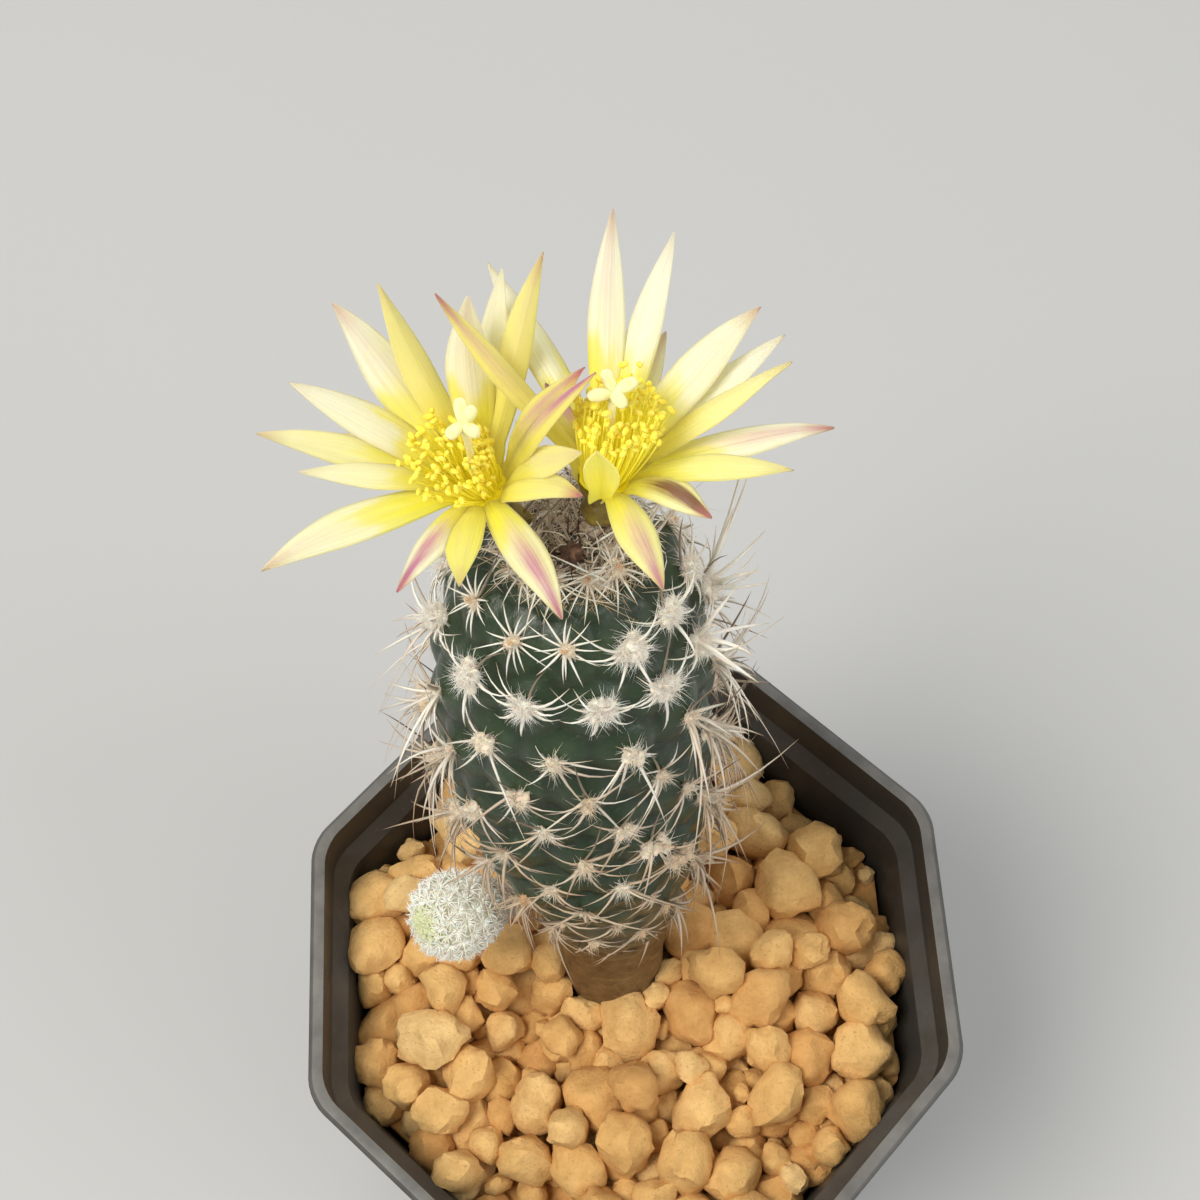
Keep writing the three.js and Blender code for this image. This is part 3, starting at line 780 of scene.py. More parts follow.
crown_areoles = []
for i in range(crown_count):
    spread = math.sqrt((i + 0.7) / crown_count)
    outward, place = on_crown(i * golden, spread, crown_spread, crown_droop, 0.5 * mm)
    out = (crown_axis + outward * 0.7 * spread).normalized()
    aside = crown_axis.cross(outward).normalized()
    crown_areoles.append(Areole((place, aside, out.cross(aside), out), 0.0, True, 1.0))


def crown_spine(areole, turn):
    """A dry, curled spine of the crown: its way, pull, length and radius in mm, and age"""
    flat = areole.flat(turn)
    way = flat * 0.8 + areole.out * chance.uniform(0.4, 1.3)
    pull = areole.side * chance.uniform(-0.9, 0.9) - flat * chance.uniform(0.3, 1.5)
    pull -= areole.out * chance.uniform(-0.1, 0.6)
    return way, pull, chance.uniform(4.5, 8.5), chance.uniform(0.13, 0.19), chance.uniform(0.12, 0.4)


def star_spine(areole, turn):
    """A short, straight white spine of a young star"""
    way = areole.flat(turn) + areole.out * chance.uniform(0.35, 0.7)
    pull = -areole.out * chance.uniform(0.25, 0.5) + areole.side * chance.uniform(-0.15, 0.15)
    pull -= areole.up * chance.uniform(-0.05, 0.2)
    return way, pull, chance.uniform(3.2, 4.4), chance.uniform(0.11, 0.14), chance.uniform(0.0, 0.1)


def grown_spine(areole, turn, thick):
    """A stouter, curling spine: arched and white on a white areole, thick where it bursts out"""
    side, up, out = areole.side, areole.up, areole.out
    away = chance.uniform(0.5, 1.6) + 0.6 * areole.sideways_on
    way = areole.flat(turn) + out * away - up * chance.uniform(-0.2, 0.35)
    sideways = side * (math.copysign(0.35, math.cos(turn)) + chance.uniform(-0.4, 0.4))
    pull = sideways - out * chance.uniform(0.3, 1.0) - up * chance.uniform(-0.3, 1.25)
    length, radius = chance.uniform(3.8, 7.4) * areole.size, chance.uniform(0.13, 0.19)
    if areole.sideways_on:
        pull += out * 0.35
        length, radius = length * chance.choice((1, 1, 1.3)), radius * 1.25
    age = min(max(areole.age * 1.15 + chance.uniform(-0.2, 0.2), 0.08), 1)
    if areole.white:
        low = side * math.cos(turn) + up * (0.6 * math.sin(turn) - 0.35)
        way = low + out * chance.uniform(0.35, 0.8)
        pull = up * (abs(math.cos(turn)) * chance.uniform(0.2, 1.0)) - out * chance.uniform(0.3, 0.8)
        length, radius, age = chance.uniform(4.5, 8.0), chance.uniform(0.17, 0.23), chance.uniform(0.0, 0.2)
    if thick:
        way = areole.flat(turn) * 0.9 + out * 0.7 + crown_side * 0.3 + crown_axis * chance.uniform(0.0, 0.8)
        pull = crown_axis * chance.uniform(-0.4, 0.5) + side * chance.uniform(-0.5, 0.5)
        length, radius, age = chance.uniform(6.0, 9.5), chance.uniform(0.27, 0.35), 0.0
    return way, pull, length, radius, age


radial_spines, central_spines = Heap(), Heap()
for areole in areoles + crown_areoles:
    side, up, out = areole.side, areole.up, areole.out
    foot = areole.place - out * spine_root
    crown = areole in crown_areoles
    phase = chance.random() * whole_turn
    if crown:
        count = 11
    elif areole.star:
        count = chance.randint(12, 15)
    else:
        count = chance.randint(6, 8) + areole.white + 5 * areole.burst
        count += 2 * areole.sideways_on - (areole.age > 0.65)
    for i in range(count):
        turn = phase + whole_turn * (i + chance.uniform(-0.3, 0.3)) / count
        if crown:
            grown = crown_spine(areole, turn)
        elif areole.star:
            grown = star_spine(areole, turn)
        else:
            grown = grown_spine(areole, turn, areole.burst and i % 2)
        way, pull, length, radius, age = grown
        points, faces = bent_copy(spine_shape, foot, way.normalized(), length * mm, radius * mm, pull)
        radial_spines.add(points, faces, along=along_of(spine_shape), age=age)
    for _ in range(chance.choice((0, 1, 1)) if areole.star else chance.choice((0, 0, 1, 1))):
        way = (out * chance.uniform(0.25, 0.6) + up + side * chance.uniform(-0.45, 0.45)).normalized()
        pull = up * chance.uniform(-0.1, 0.2) + side * chance.uniform(-0.25, 0.25)
        pull += out * chance.uniform(-0.15, 0.15)
        length = chance.uniform(6.5, 11) * areole.size * (0.5 if crown else 1)
        points, faces = bent_copy(spine_shape, foot, way, length * mm, central_radius, pull, 2.6)
        central_spines.add(points, faces, along=along_of(spine_shape), age=chance.random())

white_horn = Finish("white_horn", 0.45, Subsurface_Weight=0.12, Subsurface_Scale=0.5 * mm)
fresh = white_horn.ramp(
    white_horn.value("along"),
    (0.0, (0.76, 0.6, 0.4)), (0.12, (0.88, 0.82, 0.7)), (0.7, (0.92, 0.88, 0.79)), (1.0, (0.74, 0.58, 0.38)),
)
aged = white_horn.ramp(
    white_horn.value("along"),
    (0.0, (0.42, 0.3, 0.19)), (0.3, (0.6, 0.47, 0.33)), (0.75, (0.48, 0.35, 0.23)), (1.0, (0.24, 0.14, 0.08)),
)
ageing = white_horn.ramp(white_horn.value("age"), (0.1, 0.0), (0.6, 1.0))
white_horn.colour(white_horn.mix(ageing, fresh, aged))
white_horn.bump(white_horn.noise(3000, 2), 0.03 * mm, 0.4)
brown_horn = Finish("brown_horn", 0.5)
brown_horn.colour(brown_horn.ramp(
    brown_horn.value("along"),
    (0.0, (0.42, 0.32, 0.22)), (0.3, (0.3, 0.23, 0.165)),
    (0.8, (0.21, 0.155, 0.11)), (1.0, (0.1, 0.065, 0.045)),
))
brown_horn.bump(brown_horn.noise(2500, 3), 0.04 * mm, 0.5)
finish(radial_spines.piece("radial_spines"), "radial_spines", white_horn.material)
finish(central_spines.piece("central_spines"), "central_spines", brown_horn.material)


# Wool
# Each areole sits in a tuft of fine wool: small and tan on the young stars, full and white below
# them, beige with age toward the foot. A tuft is a few soft clumps with curly hairs around them.
longest_tuft = 1.4
crown_hairs = 1400
bpy.ops.object.select_all(action="DESELECT")
bpy.ops.mesh.primitive_ico_sphere_add(subdivisions=2, radius=1)
clump_shape = shape_of(bpy.context.object)


def curly_hair(wool, root, way, length, white):
    pull = Vector((chance.uniform(-1, 1), chance.uniform(-1, 1), chance.uniform(-1, 1)))
    points, faces = bent_copy(hair_shape, root, way, length, chance.uniform(0.026, 0.044) * mm, pull)
    wool.add(points, faces, white=white)


def tuft(wool, areole, full, clumps, hairs, white, core=0.35):
    """Soft clumps of wool on an areole, each grown over with its share of the hairs"""
    drift = areole.flat(chance.uniform(0, whole_turn)) * (chance.uniform(-0.45, 0.45) * full * mm)
    for i in range(clumps):
        away = areole.flat(chance.uniform(0, whole_turn)) * (chance.uniform(0.1, 0.6) * full * mm * min(i, 1))
        lift = areole.out * (chance.uniform(0.05, 0.35) * full * mm)
        middle = areole.place + away + drift * (i / clumps) + lift
        size = full * core * chance.uniform(0.77, 1.23) * mm
        ball = []
        for point in clump_shape[0]:
            bumpy = point * (1 + 0.8 * noise.noise(point * 2.8 + areole.place * 900 + Vector((i, 0, 0))))
            ball.append(middle + bumpy * size)
        # Painted shade: each clump is coloured darker than the hairs grown over it.
        wool.add(ball, clump_shape[1], white=0.85 * white)
        for _ in range(hairs // clumps):
            way = any_way(chance)
            root = middle + (way + areole.out * 0.4).normalized() * (size * 0.8)
            way = (way * 0.55 + any_way(chance) * 0.8 + areole.out * 0.2).normalized()
            length = chance.uniform(0.35, 0.85) * min(full, longest_tuft) * mm
            curly_hair(wool, root, way, length, white + chance.uniform(-0.12, 0.12))


fleece = {name: Heap() for name in ("crown_wool", "star_wool", "white_wool", "middle_wool", "lower_wool")}
for areole in areoles + crown_areoles:
    if areole.star:
        name = "crown_wool" if areole in crown_areoles else "star_wool"
        tuft(fleece[name], areole, 1.05, 5, 110, 0.48)
        core_frame = (areole.place + areole.out * 0.6 * mm, areole.side, areole.up, areole.out)
        tuft(fleece[name], Areole(core_frame, 0, True, 1), 0.42, 4, 16, 0.0)
    elif areole.white:
        full = chance.uniform(1.6, 2.15)
        tuft(fleece["white_wool"], areole, full, 12, 720, chance.uniform(0.9, 1.0), 0.26)
    elif areole.age < 0.6:
        full = chance.choice((1.2, 1.5, 2.1))
        tuft(fleece["middle_wool"], areole, full, 6, 186, chance.uniform(0.3, 0.7), 0.27)
    else:
        full = chance.uniform(0.8, 1.5) * areole.size
        tuft(fleece["lower_wool"], areole, full, 3, 75, chance.uniform(0.0, 0.35), 0.3)
for _ in range(crown_hairs):
    turn, spread = chance.uniform(0, whole_turn), math.sqrt(chance.random())
    root = on_crown(turn, spread, 7.2 * mm, 1.9 * mm, 0.2 * mm)[1]
    way = Vector((chance.uniform(-1, 1), chance.uniform(-1, 1), chance.uniform(0.1, 0.9))).normalized()
    curly_hair(fleece["crown_wool"], root, way, chance.uniform(1.0, 2.6) * mm, chance.uniform(0.0, 0.26))

# Painted glow: a weak warm emission lifts the wool, standing in for light that shines through its fine hairs.
soft_wool = Finish(
    "soft_wool", 0.95, Subsurface_Weight=0.35, Subsurface_Scale=0.8 * mm,
    Emission_Color=(0.94, 0.82, 0.66, 1), Emission_Strength=0.12,
)
tint = soft_wool.ramp(
    soft_wool.value("white"),
    (0.0, (0.62, 0.3, 0.08)), (0.3, (0.74, 0.56, 0.38)), (0.6, (0.86, 0.74, 0.58)), (1.0, (0.96, 0.91, 0.82)),
)
# Painted shade: beige patches spread by noise darken the wool.
painted_beige_shade = soft_wool.ramp(soft_wool.noise(1300, 4), (0.35, 0.0), (0.75, 0.3))
soft_wool.colour(soft_wool.mix(painted_beige_shade, tint, (0.62, 0.44, 0.28)))
soft_wool.bump(soft_wool.noise(4000, 4, 0.7), 0.15 * mm, 0.9)
for name, tufts in fleece.items():
    finish(tufts.piece(name), name, soft_wool.material)


# Side shoot
# A young club on a thin brown neck, hidden under close white bristles, with a yellow-green crown
# that faces up and to the left. It is drawn up from a ring, and its bristles are copies of one shape.
shoot_from = Vector((-10.2, 6.6, 70)) * mm
shoot_to = Vector((-22.6, 0.1, 79)) * mm
shoot_radius = 4.8 * mm
shoot_length = (shoot_to - shoot_from).length
shoot_axis = (shoot_to - shoot_from).normalized()
shoot_side, shoot_back = across(shoot_axis)
shoot_outline = [
    (0.2, 0.0), (0.17, 0.08), (0.22, 0.17), (0.34, 0.27), (0.46, 0.37), (0.6, 0.48), (0.8, 0.6),
    (0.9, 0.72), (0.89, 0.83), (0.77, 0.92), (0.54, 0.98), (0.28, 1.01), (0.08, 1.015),
]
neck_rings = 2
lump_rise = 0.08
cluster_count = 170
bristle_count = 20
bristle_radius = 0.1 * mm


def shoot_outward(turn):
    return shoot_side * math.cos(turn) + shoot_back * math.sin(turn)


shoot = draw_from_ring("shoot", 48, shoot_outline)
close_and_turn_out(shoot)
refine(shoot)
tipward = []
for point in shoot.data.vertices:
    turn, radius, along = math.atan2(point.co.y, point.co.x), point.co.xy.length, point.co.z
    lump = lump_rise * math.sin(turn * 7 + along * 16) * math.sin(along * 34) if along > 0.3 else 0
    tipward.append(along)
    outward = shoot_outward(turn) * (radius * (1 + lump) * shoot_radius)
    point.co = shoot_from + outward + shoot_axis * (along * shoot_length)
shoot.data.attributes.new("tipward", "FLOAT", "POINT").data.foreach_set("value", tipward)

shoot_skin = Finish("shoot_skin", 0.5, Subsurface_Weight=0.15, Subsurface_Scale=1 * mm)
downy = shoot_skin.ramp(shoot_skin.noise(700, 4), (0.3, (0.6, 0.58, 0.42)), (0.7, (0.84, 0.81, 0.68)))
centre = shoot_skin.ramp(shoot_skin.value("tipward"), (0.93, 0.0), (1.0, 1.0))
green = shoot_skin.mix(centre, downy, (0.5, 0.52, 0.14))
from_neck = shoot_skin.ramp(shoot_skin.value("tipward"), (0.12, 0.0), (0.32, 1.0))
shoot_skin.colour(shoot_skin.mix(from_neck, (0.11, 0.022, 0.014), green))
shoot_skin.bump(shoot_skin.noise(1500, 4), 0.15 * mm, 0.5)
finish(shoot, "shoot_body", shoot_skin.material, ("side_shoot",))

bristle_shape = shape_of(drawn_out("bristle", 3, [1.0, 0.85, 0.55, 0.1]))
shoot_flank = Way([
    (radius * shoot_radius / mm, 0, along * shoot_length / mm) for radius, along in shoot_outline[neck_rings:]
])
bristles = Heap()
for i in range(cluster_count):
    share = ((i + 0.5) / cluster_count) ** 0.8
    on_flank, slope = shoot_flank.at(shoot_flank.length * share)
    turn = i * golden
    flat = shoot_outward(turn)
    place = shoot_from + flat * on_flank.x + shoot_axis * on_flank.z
    out = (flat * slope.z - shoot_axis * slope.x).normalized()
    aside = (shoot_back * math.cos(turn) - shoot_side * math.sin(turn)).normalized()
    up = out.cross(aside)
    grown = min(0.3 + 1.2 * share, 1.0)
    for bristle in range(bristle_count):
        fan = whole_turn * (bristle + chance.uniform(-0.3, 0.3)) / bristle_count
        lean = aside * math.cos(fan) + up * math.sin(fan)
        way = (lean + out * chance.uniform(0.3, 1.5)).normalized()
        length = chance.uniform(1.1, 2.1) * grown * (1.0 if share < 0.9 else 0.7) * mm
        pull = -out * chance.uniform(0.1, 0.4)
        points, faces = bent_copy(bristle_shape, place, way, length, bristle_radius, pull)
        # Painted shade: bristles toward the neck end get a dark grey in place of white, and this share is how
        # far a bristle is out of that shade.
        tone = min(max((share - 0.15) * 2.4 + chance.uniform(-0.2, 0.2), 0), 1)
        fresh = min(max((share - 0.88) / 0.1, 0), 0.55)
        bristles.add(points, faces, along=along_of(bristle_shape), clean=tone, fresh=fresh)
# Painted glow: a weak warm emission lifts the bristles, standing in for light shining through them.
bristle_look = Finish(
    "white_bristle", 0.6, Subsurface_Weight=0.25, Subsurface_Scale=0.5 * mm,
    Emission_Color=(1, 0.93, 0.8, 1), Emission_Strength=0.06,
)
clean = bristle_look.ramp(
    bristle_look.value("along"),
    (0.0, (0.86, 0.82, 0.62)), (0.4, (0.96, 0.93, 0.84)), (1.0, (0.95, 0.91, 0.83)),
)
clean = bristle_look.mix(bristle_look.value("fresh"), clean, (0.74, 0.76, 0.26))
# Painted shade: the grey given to the bristles near the neck.
grey = bristle_look.ramp(bristle_look.noise(1200, 3), (0.3, (0.28, 0.26, 0.2)), (0.7, (0.5, 0.47, 0.4)))
cleaner = bristle_look.ramp(bristle_look.value("clean"), (0.2, 0.0), (0.8, 1.0))
bristle_look.colour(bristle_look.mix(cleaner, grey, clean))
bristle_look.bump(bristle_look.noise(4000, 2), 0.03 * mm, 0.4)
finish(bristles.piece("shoot_bristles"), "shoot_bristles", bristle_look.material)


# Withered flower
# The dried, twisted tube of an old flower, left standing on the crown with dry straws round it. It
# is a short drawn-out tube whose wall is folded, twisted and crumpled. The straws are bent spines.
withered_from = Vector((-4.4, 12.2, 139.8)) * mm
withered_to = Vector((-4.9, 10.6, 144.6)) * mm
withered_radius = 1.3 * mm
withered_foot = 0.35 * mm
crumple = 0.9 * mm
straw_count = 26
straw_radius = 0.11 * mm
withered = drawn_out("withered", 28, [0.5, 0.8, 1.0, 0.8, 0.62, 0.66, 0.85, 0.95, 0.5, 0.1])
withered_axis = (withered_to - withered_from).normalized()
side, back = across(withered_axis)
withered_length = (withered_to - withered_from).length
for point in withered.data.vertices:
    turn = math.atan2(point.co.y, point.co.x)
    fold = 0.8 + 0.26 * math.cos(5 * turn + 2 + 3 * point.co.z) + 0.35 * noise.noise(point.co * 2.3)
    radius = point.co.xy.length * withered_radius * fold
    turn += 1.3 * point.co.z
    height = withered_foot + point.co.z * (withered_length - withered_foot)
    height += crumple * noise.noise(point.co * 1.7)
    outward = side * math.cos(turn) + back * math.sin(turn)
    point.co = withered_from + withered_axis * height + outward * radius
close_and_turn_out(withered)
refine(withered)
husk = Finish("dry_husk", 0.8)
husk.colour(husk.ramp(
    husk.noise(900, 6, 0.7),
    (0.3, (0.028, 0.01, 0.007)), (0.5, (0.085, 0.035, 0.018)), (0.8, (0.36, 0.2, 0.09)),
))
husk.bump(husk.noise(1800, 5, 0.7), 0.3 * mm, 0.8)
finish(withered, "withered_flower_husk", husk.material, ("withered_flower",))

straw = Heap()
for _ in range(straw_count):
    root = withered_from + Vector((chance.gauss(0, 1.3), chance.gauss(0, 1.1), chance.uniform(0, 1.2))) * mm
    way = Vector((chance.gauss(0, 0.7), chance.gauss(0, 0.7), 1)).normalized()
    pull = Vector((chance.uniform(-1, 1), chance.uniform(-1, 1), chance.uniform(-0.8, 0))) * 0.8
    points, faces = bent_copy(spine_shape, root, way, chance.uniform(1.8, 4.5) * mm, straw_radius, pull)
    straw.add(points, faces, along=along_of(spine_shape))
finish(straw.piece("crown_straw"), "crown_straw", husk.material)


# Flower tubes and cups
# Each flower rises from the crown on a short olive tube that opens into a cup, whose wall carries the
# petals. Tube and cup are each drawn out from a ring and bent along the way they grow.
tube_radius = 1.7 * mm
tube_ribs = 0.06
rim_radius = 2.7 * mm
cup_radius = 0.8428 * rim_radius
cup_height = 2.9 * mm
cup_depth = 5 * mm
cup_wall = 0.3 * mm
seam = 0.35 * mm


def open_top(piece):
    """Takes the lid off a shape one unit long"""
    start_editing(piece)
    pick_points(piece, lambda co: co.z > 0.999)
    bpy.ops.mesh.delete(type="ONLY_FACE")
    bpy.ops.object.mode_set(mode="OBJECT")


def thicken(piece, thickness, offset=0):
    """Gives a sheet its thickness: on both sides of it, or on the inner one where offset is -1"""
    wall = piece.modifiers.new("wall", "SOLIDIFY")
    wall.thickness = thickness
    wall.offset = offset
    apply_modifiers(piece)


class Flower:
    """One of the two flowers, with its own frame at the middle of the cup's rim"""

    def __init__(self, side, rim, axis, root, brush_height, brush_lean, petals):
        self.side = side
        self.rim = Vector(rim) * mm
        self.axis = Vector(axis).normalized()
        self.root = Vector(root) * mm
        self.brush_height = brush_height * mm
        self.brush_lean = Vector(brush_lean) * mm
        self.petals = petals
        self.x, self.y = across(self.axis)

    def at(self, x, y, z):
        """A point measured from the middle of the rim"""
        return self.rim + self.x * x + self.y * y + self.axis * z

    def around(self, turn, radius, z):
        return self.at(radius * math.cos(turn), radius * math.sin(turn), z)

    def outward(self, turn):
        return self.x * math.cos(turn) + self.y * math.sin(turn)

    def sideways(self, turn):
        return self.y * math.cos(turn) - self.x * math.sin(turn)


# Each petal: azimuth and rise of its tip in degrees, length, width and arch of the blade, then how
# cream it is, how much painted tan shade it has, how strong its rose stripe, how rose its tip, and its twist
# in degrees
left_flower = Flower("left", (-12.3, 16.5, 147.5), (-0.05, -0.12, 1), (-8.4, 15.6, 139.4), 6.4, (-2.1, 0.2), [
    (172, 20, 16.3, 2.7, 14, 0.55, 0.1, 0.05, 0.5, 12),
    (156, 30, 15.3, 3.5, 12, 0.95, 0.0, 0.0, 0.2, -8),
    (131, 30, 16.5, 3.9, 10, 1.0, 0.0, 0.3, 0.5, 8),
    (117, 38, 16.0, 2.9, 10, 0.3, 0.5, 0.0, 0.3, -16),
    (87, 55, 14.3, 4.0, 10, 1.0, 0.0, 0.25, 0.2, 0),
    (77, 34, 15.3, 3.0, 10, 0.85, 0.0, 0.0, 0.1, 12),
    (62, 44, 18.1, 2.6, 8, 0.3, 0.5, 0.15, 0.6, -18),
    (17, 59, 15.2, 2.8, 24, 0.0, 0.2, 0.8, 1.2, 0),
    (9, 60, 17.0, 3.0, 18, 0.0, 0.2, 1.05, 0.7, 16),
    (345, 52, 11.5, 3.0, 22, 0.3, 0.0, 0.15, 0.2, -10),
    (327, 45, 11.8, 3.2, 26, 0.15, 0.0, 0.1, 1.1, 10),
    (295, 12, 13.6, 3.3, 26, 0.7, 0.0, 1.0, 0.7, 0),
    (263, 30, 10.8, 3.0, 24, 0.0, 0.0, 0.1, 0.4, 0),
    (243, 25, 12.0, 2.7, 26, 0.9, 0.0, 1.19, 1.0, -8),
    (205, 7, 17.2, 3.4, 24, 0.75, 0.0, 0.25, 0.5, 8),
    (184, 25, 12.8, 2.4, 14, 0.7, 0.0, 0.0, 0.2, 0),
    (160, 5, 10.5, 2.6, 12, 0.4, 0.2, 0.9, 1.0, 0),
])
right_flower = Flower("right", (-1.4, 15.8, 149.5), (0.06, 0.03, 1), (-2.3, 15.9, 141.4), 8.4, (1.0, 0.8), [
    (149, 43, 18.6, 2.1, -2, 0.1, 0.5, 0.5, 1.0, 14),
    (118, 16, 18.0, 3.2, 14, 0.9, 0.0, 0.0, 0.3, -10),
    (88, 40, 19.1, 3.1, 6, 1.0, 0.0, 0.35, 0.45, 0),
    (70, 38, 18.0, 2.9, 6, 1.0, 0.0, 0.05, 0.15, 8),
    (64, 24, 10.2, 2.9, 10, 0.9, 0.0, 0.35, 0.5, -14),
    (36, 32, 16.0, 3.6, 28, 0.9, 0.0, 0.05, 0.7, -8),
    (28, 25, 16.0, 2.8, 12, 0.95, 0.0, 0.0, 0.25, 0),
    (14, 35, 15.6, 2.6, 8, 0.4, 0.25, 0.0, 0.3, 10),
    (3, 11, 16.7, 2.9, 16, 0.95, 0.0, 0.65, 0.9, 0),
    (342, 25, 14.0, 2.5, 20, 0.3, 0.0, 0.0, 0.3, -8),
    (322, 15, 8.2, 3.1, 40, 0.5, 0.0, 2.0, 1.0, 0),
    (284, 13, 11.8, 3.3, 28, 0.35, 0.0, 0.8, 0.8, 0),
    (258, 70, 14.0, 2.9, 8, 0.0, 0.0, 0.0, 0.2, 0),
    (124, 20, 6.2, 2.5, 10, 0.2, 0.3, 1.0, 1.0, 0),
])

tube_look = Finish("flower_tube", 0.45, Subsurface_Weight=0.15, Subsurface_Scale=0.8 * mm)
tube_look.colour(tube_look.ramp(
    tube_look.noise(500, 5), (0.3, (0.12, 0.075, 0.014)), (0.7, (0.36, 0.27, 0.04))
))
tube_look.bump(tube_look.noise(1500, 4), 0.12 * mm, 0.5)
for flower in (left_flower, right_flower):
    top = flower.rim - flower.axis * (cup_depth + seam)
    below = top - flower.axis * (0.4 * (top - flower.root).length)
    tube = drawn_out("tube", 28, [0.8, 0.88, 0.96, 1.0, 0.99, 0.96, 0.92, 0.9, 0.87, 0.85])
    for point in tube.data.vertices:
        t = point.co.z
        centre = flower.root * (1 - t) ** 2 + below * (2 * t * (1 - t)) + top * t * t
        way = ((below - flower.root) * (1 - t) + (top - below) * t).normalized()
        side, back = across(way)
        radius = tube_radius * (1 + tube_ribs * math.cos(6 * math.atan2(point.co.y, point.co.x)))
        point.co = centre + side * (point.co.x * radius) + back * (point.co.y * radius)
    close_and_turn_out(tube)
    node = f"flower_{flower.side}_tube"
    finish(tube, f"flower_{flower.side}_stalk", tube_look.material, (node,))

    cup = drawn_out("cup", 36, [0.5, 0.6, 0.72, 0.82, 0.9, 0.96, 1.0, 1.0])
    open_top(cup)
    for point in cup.data.vertices:
        scallop = 1 - 0.05 * math.cos(9 * math.atan2(point.co.y, point.co.x)) * (point.co.z > 0.99)
        height = point.co.z * scallop * cup_height - cup_depth
        point.co = flower.at(point.co.x * cup_radius, point.co.y * cup_radius, height)
    thicken(cup, cup_wall, -1)
    finish(cup, f"flower_{flower.side}_cup", tube_look.material)


# Petals
# Thin, silky blades, lance-shaped and drawn out to a point, bright yellow in the throat and cream
# further out, some with a rose stripe. Each is a subdivided grid, shaped, and given its thickness,
# and a yellow throat lines the cup inside them.
petal_rows = 36
petal_columns = 12
petal_thickness = 0.18 * mm
petal_ripple = 0.06 * mm
claw_length = 3.1 * mm
claw_foot = (1.5 * mm, -3.0 * mm)
claw_bend = (2.1 * mm, -1.9 * mm)
blade_root = (2.45 * mm, -0.7 * mm)
overlap = 0.25 * mm
throat_radius = 1.98 * mm
throat_foot = 2.9 * mm
throat_height = 1.6 * mm


def petal_spine(flower, azimuth, rise, length, arch, inset):
    """The middle line of a petal: its claw inside the cup, then its blade, arched on the way to its tip"""
    turn = math.radians(azimuth)

    def toward(angle):
        lift = math.radians(angle)
        return flower.outward(turn) * math.cos(lift) + flower.axis * math.sin(lift)

    rim = flower.around(turn, rim_radius, 0)
    tip = rim + toward(rise) * length
    bend = rim + toward(rise + arch) * (0.52 * length)
    root = flower.around(turn, *blade_root)
    claw = [flower.around(turn, radius - inset, height) for radius, height in (claw_foot, claw_bend)]
    blade = [root * (1 - t) ** 2 + bend * (2 * t * (1 - t)) + tip * t * t for t in (0, 0.2, 0.4, 0.6, 0.8, 1)]
    return Way([point / mm for point in claw + blade], 14)


def join(pieces):
    """Makes one piece of several"""
    take(pieces[0])
    for piece in pieces[1:]:
        piece.select_set(True)
    bpy.ops.object.join()
    return bpy.context.object


petal_look = Finish(
    "petal", 0.4, Subsurface_Weight=0.6, Subsurface_Scale=1.6 * mm, Subsurface_Radius=(1.0, 0.85, 0.3),
    Sheen_Weight=0.15, Emission_Strength=1,
)
# Painted glow: every petal emits a faint yellow and the most upright ones a stronger yellow, standing in for
# light shining through them from behind.
painted_backlight_glow = petal_look.mix(petal_look.value("upright"), (0.057, 0.049, 0.013), (0.26, 0.24, 0.012))
petal_look.feed(petal_look.shader.inputs["Emission Color"], painted_backlight_glow)
on_blade = petal_look.parts(petal_look.node("ShaderNodeUVMap", uv_map="blade").outputs[0])
over, along = on_blade["X"], on_blade["Y"]


def blade_noise(over_scale, along_scale, petal_scale, detail, rough):
    """Noise laid along the blade, different on each petal"""
    laid = petal_look.node("ShaderNodeCombineXYZ")
    petal_look.feed(laid.inputs["X"], petal_look.sum("MULTIPLY", over, over_scale))
    petal_look.feed(laid.inputs["Y"], petal_look.sum("MULTIPLY", along, along_scale))
    petal_look.feed(laid.inputs["Z"], petal_look.sum("MULTIPLY", petal_look.value("which"), petal_scale))
    return petal_look.noise(1.0, detail, rough, at=laid.outputs[0])


streaks = blade_noise(26.0, 1.1, 9.0, 3, 0.6)
cloud = blade_noise(2.2, 3.0, 31.0, 2, 0.5)
ripening = petal_look.sum("MULTIPLY_ADD", petal_look.sum("SUBTRACT", cloud, 0.5), 0.5, along)
yellow = petal_look.ramp(
    ripening,
    (0.1, (0.86, 0.75, 0.005)), (0.3, (0.87, 0.77, 0.02)),
    (0.52, (0.87, 0.77, 0.08)), (0.9, (0.86, 0.75, 0.15)),
)
cream = petal_look.ramp(
    ripening,
    (0.1, (0.88, 0.76, 0.005)), (0.3, (0.88, 0.77, 0.04)), (0.45, (0.87, 0.78, 0.2)),
    (0.56, (0.92, 0.88, 0.58)), (0.8, (0.9, 0.84, 0.6)),
)
base = petal_look.mix(petal_look.value("cream"), yellow, cream)
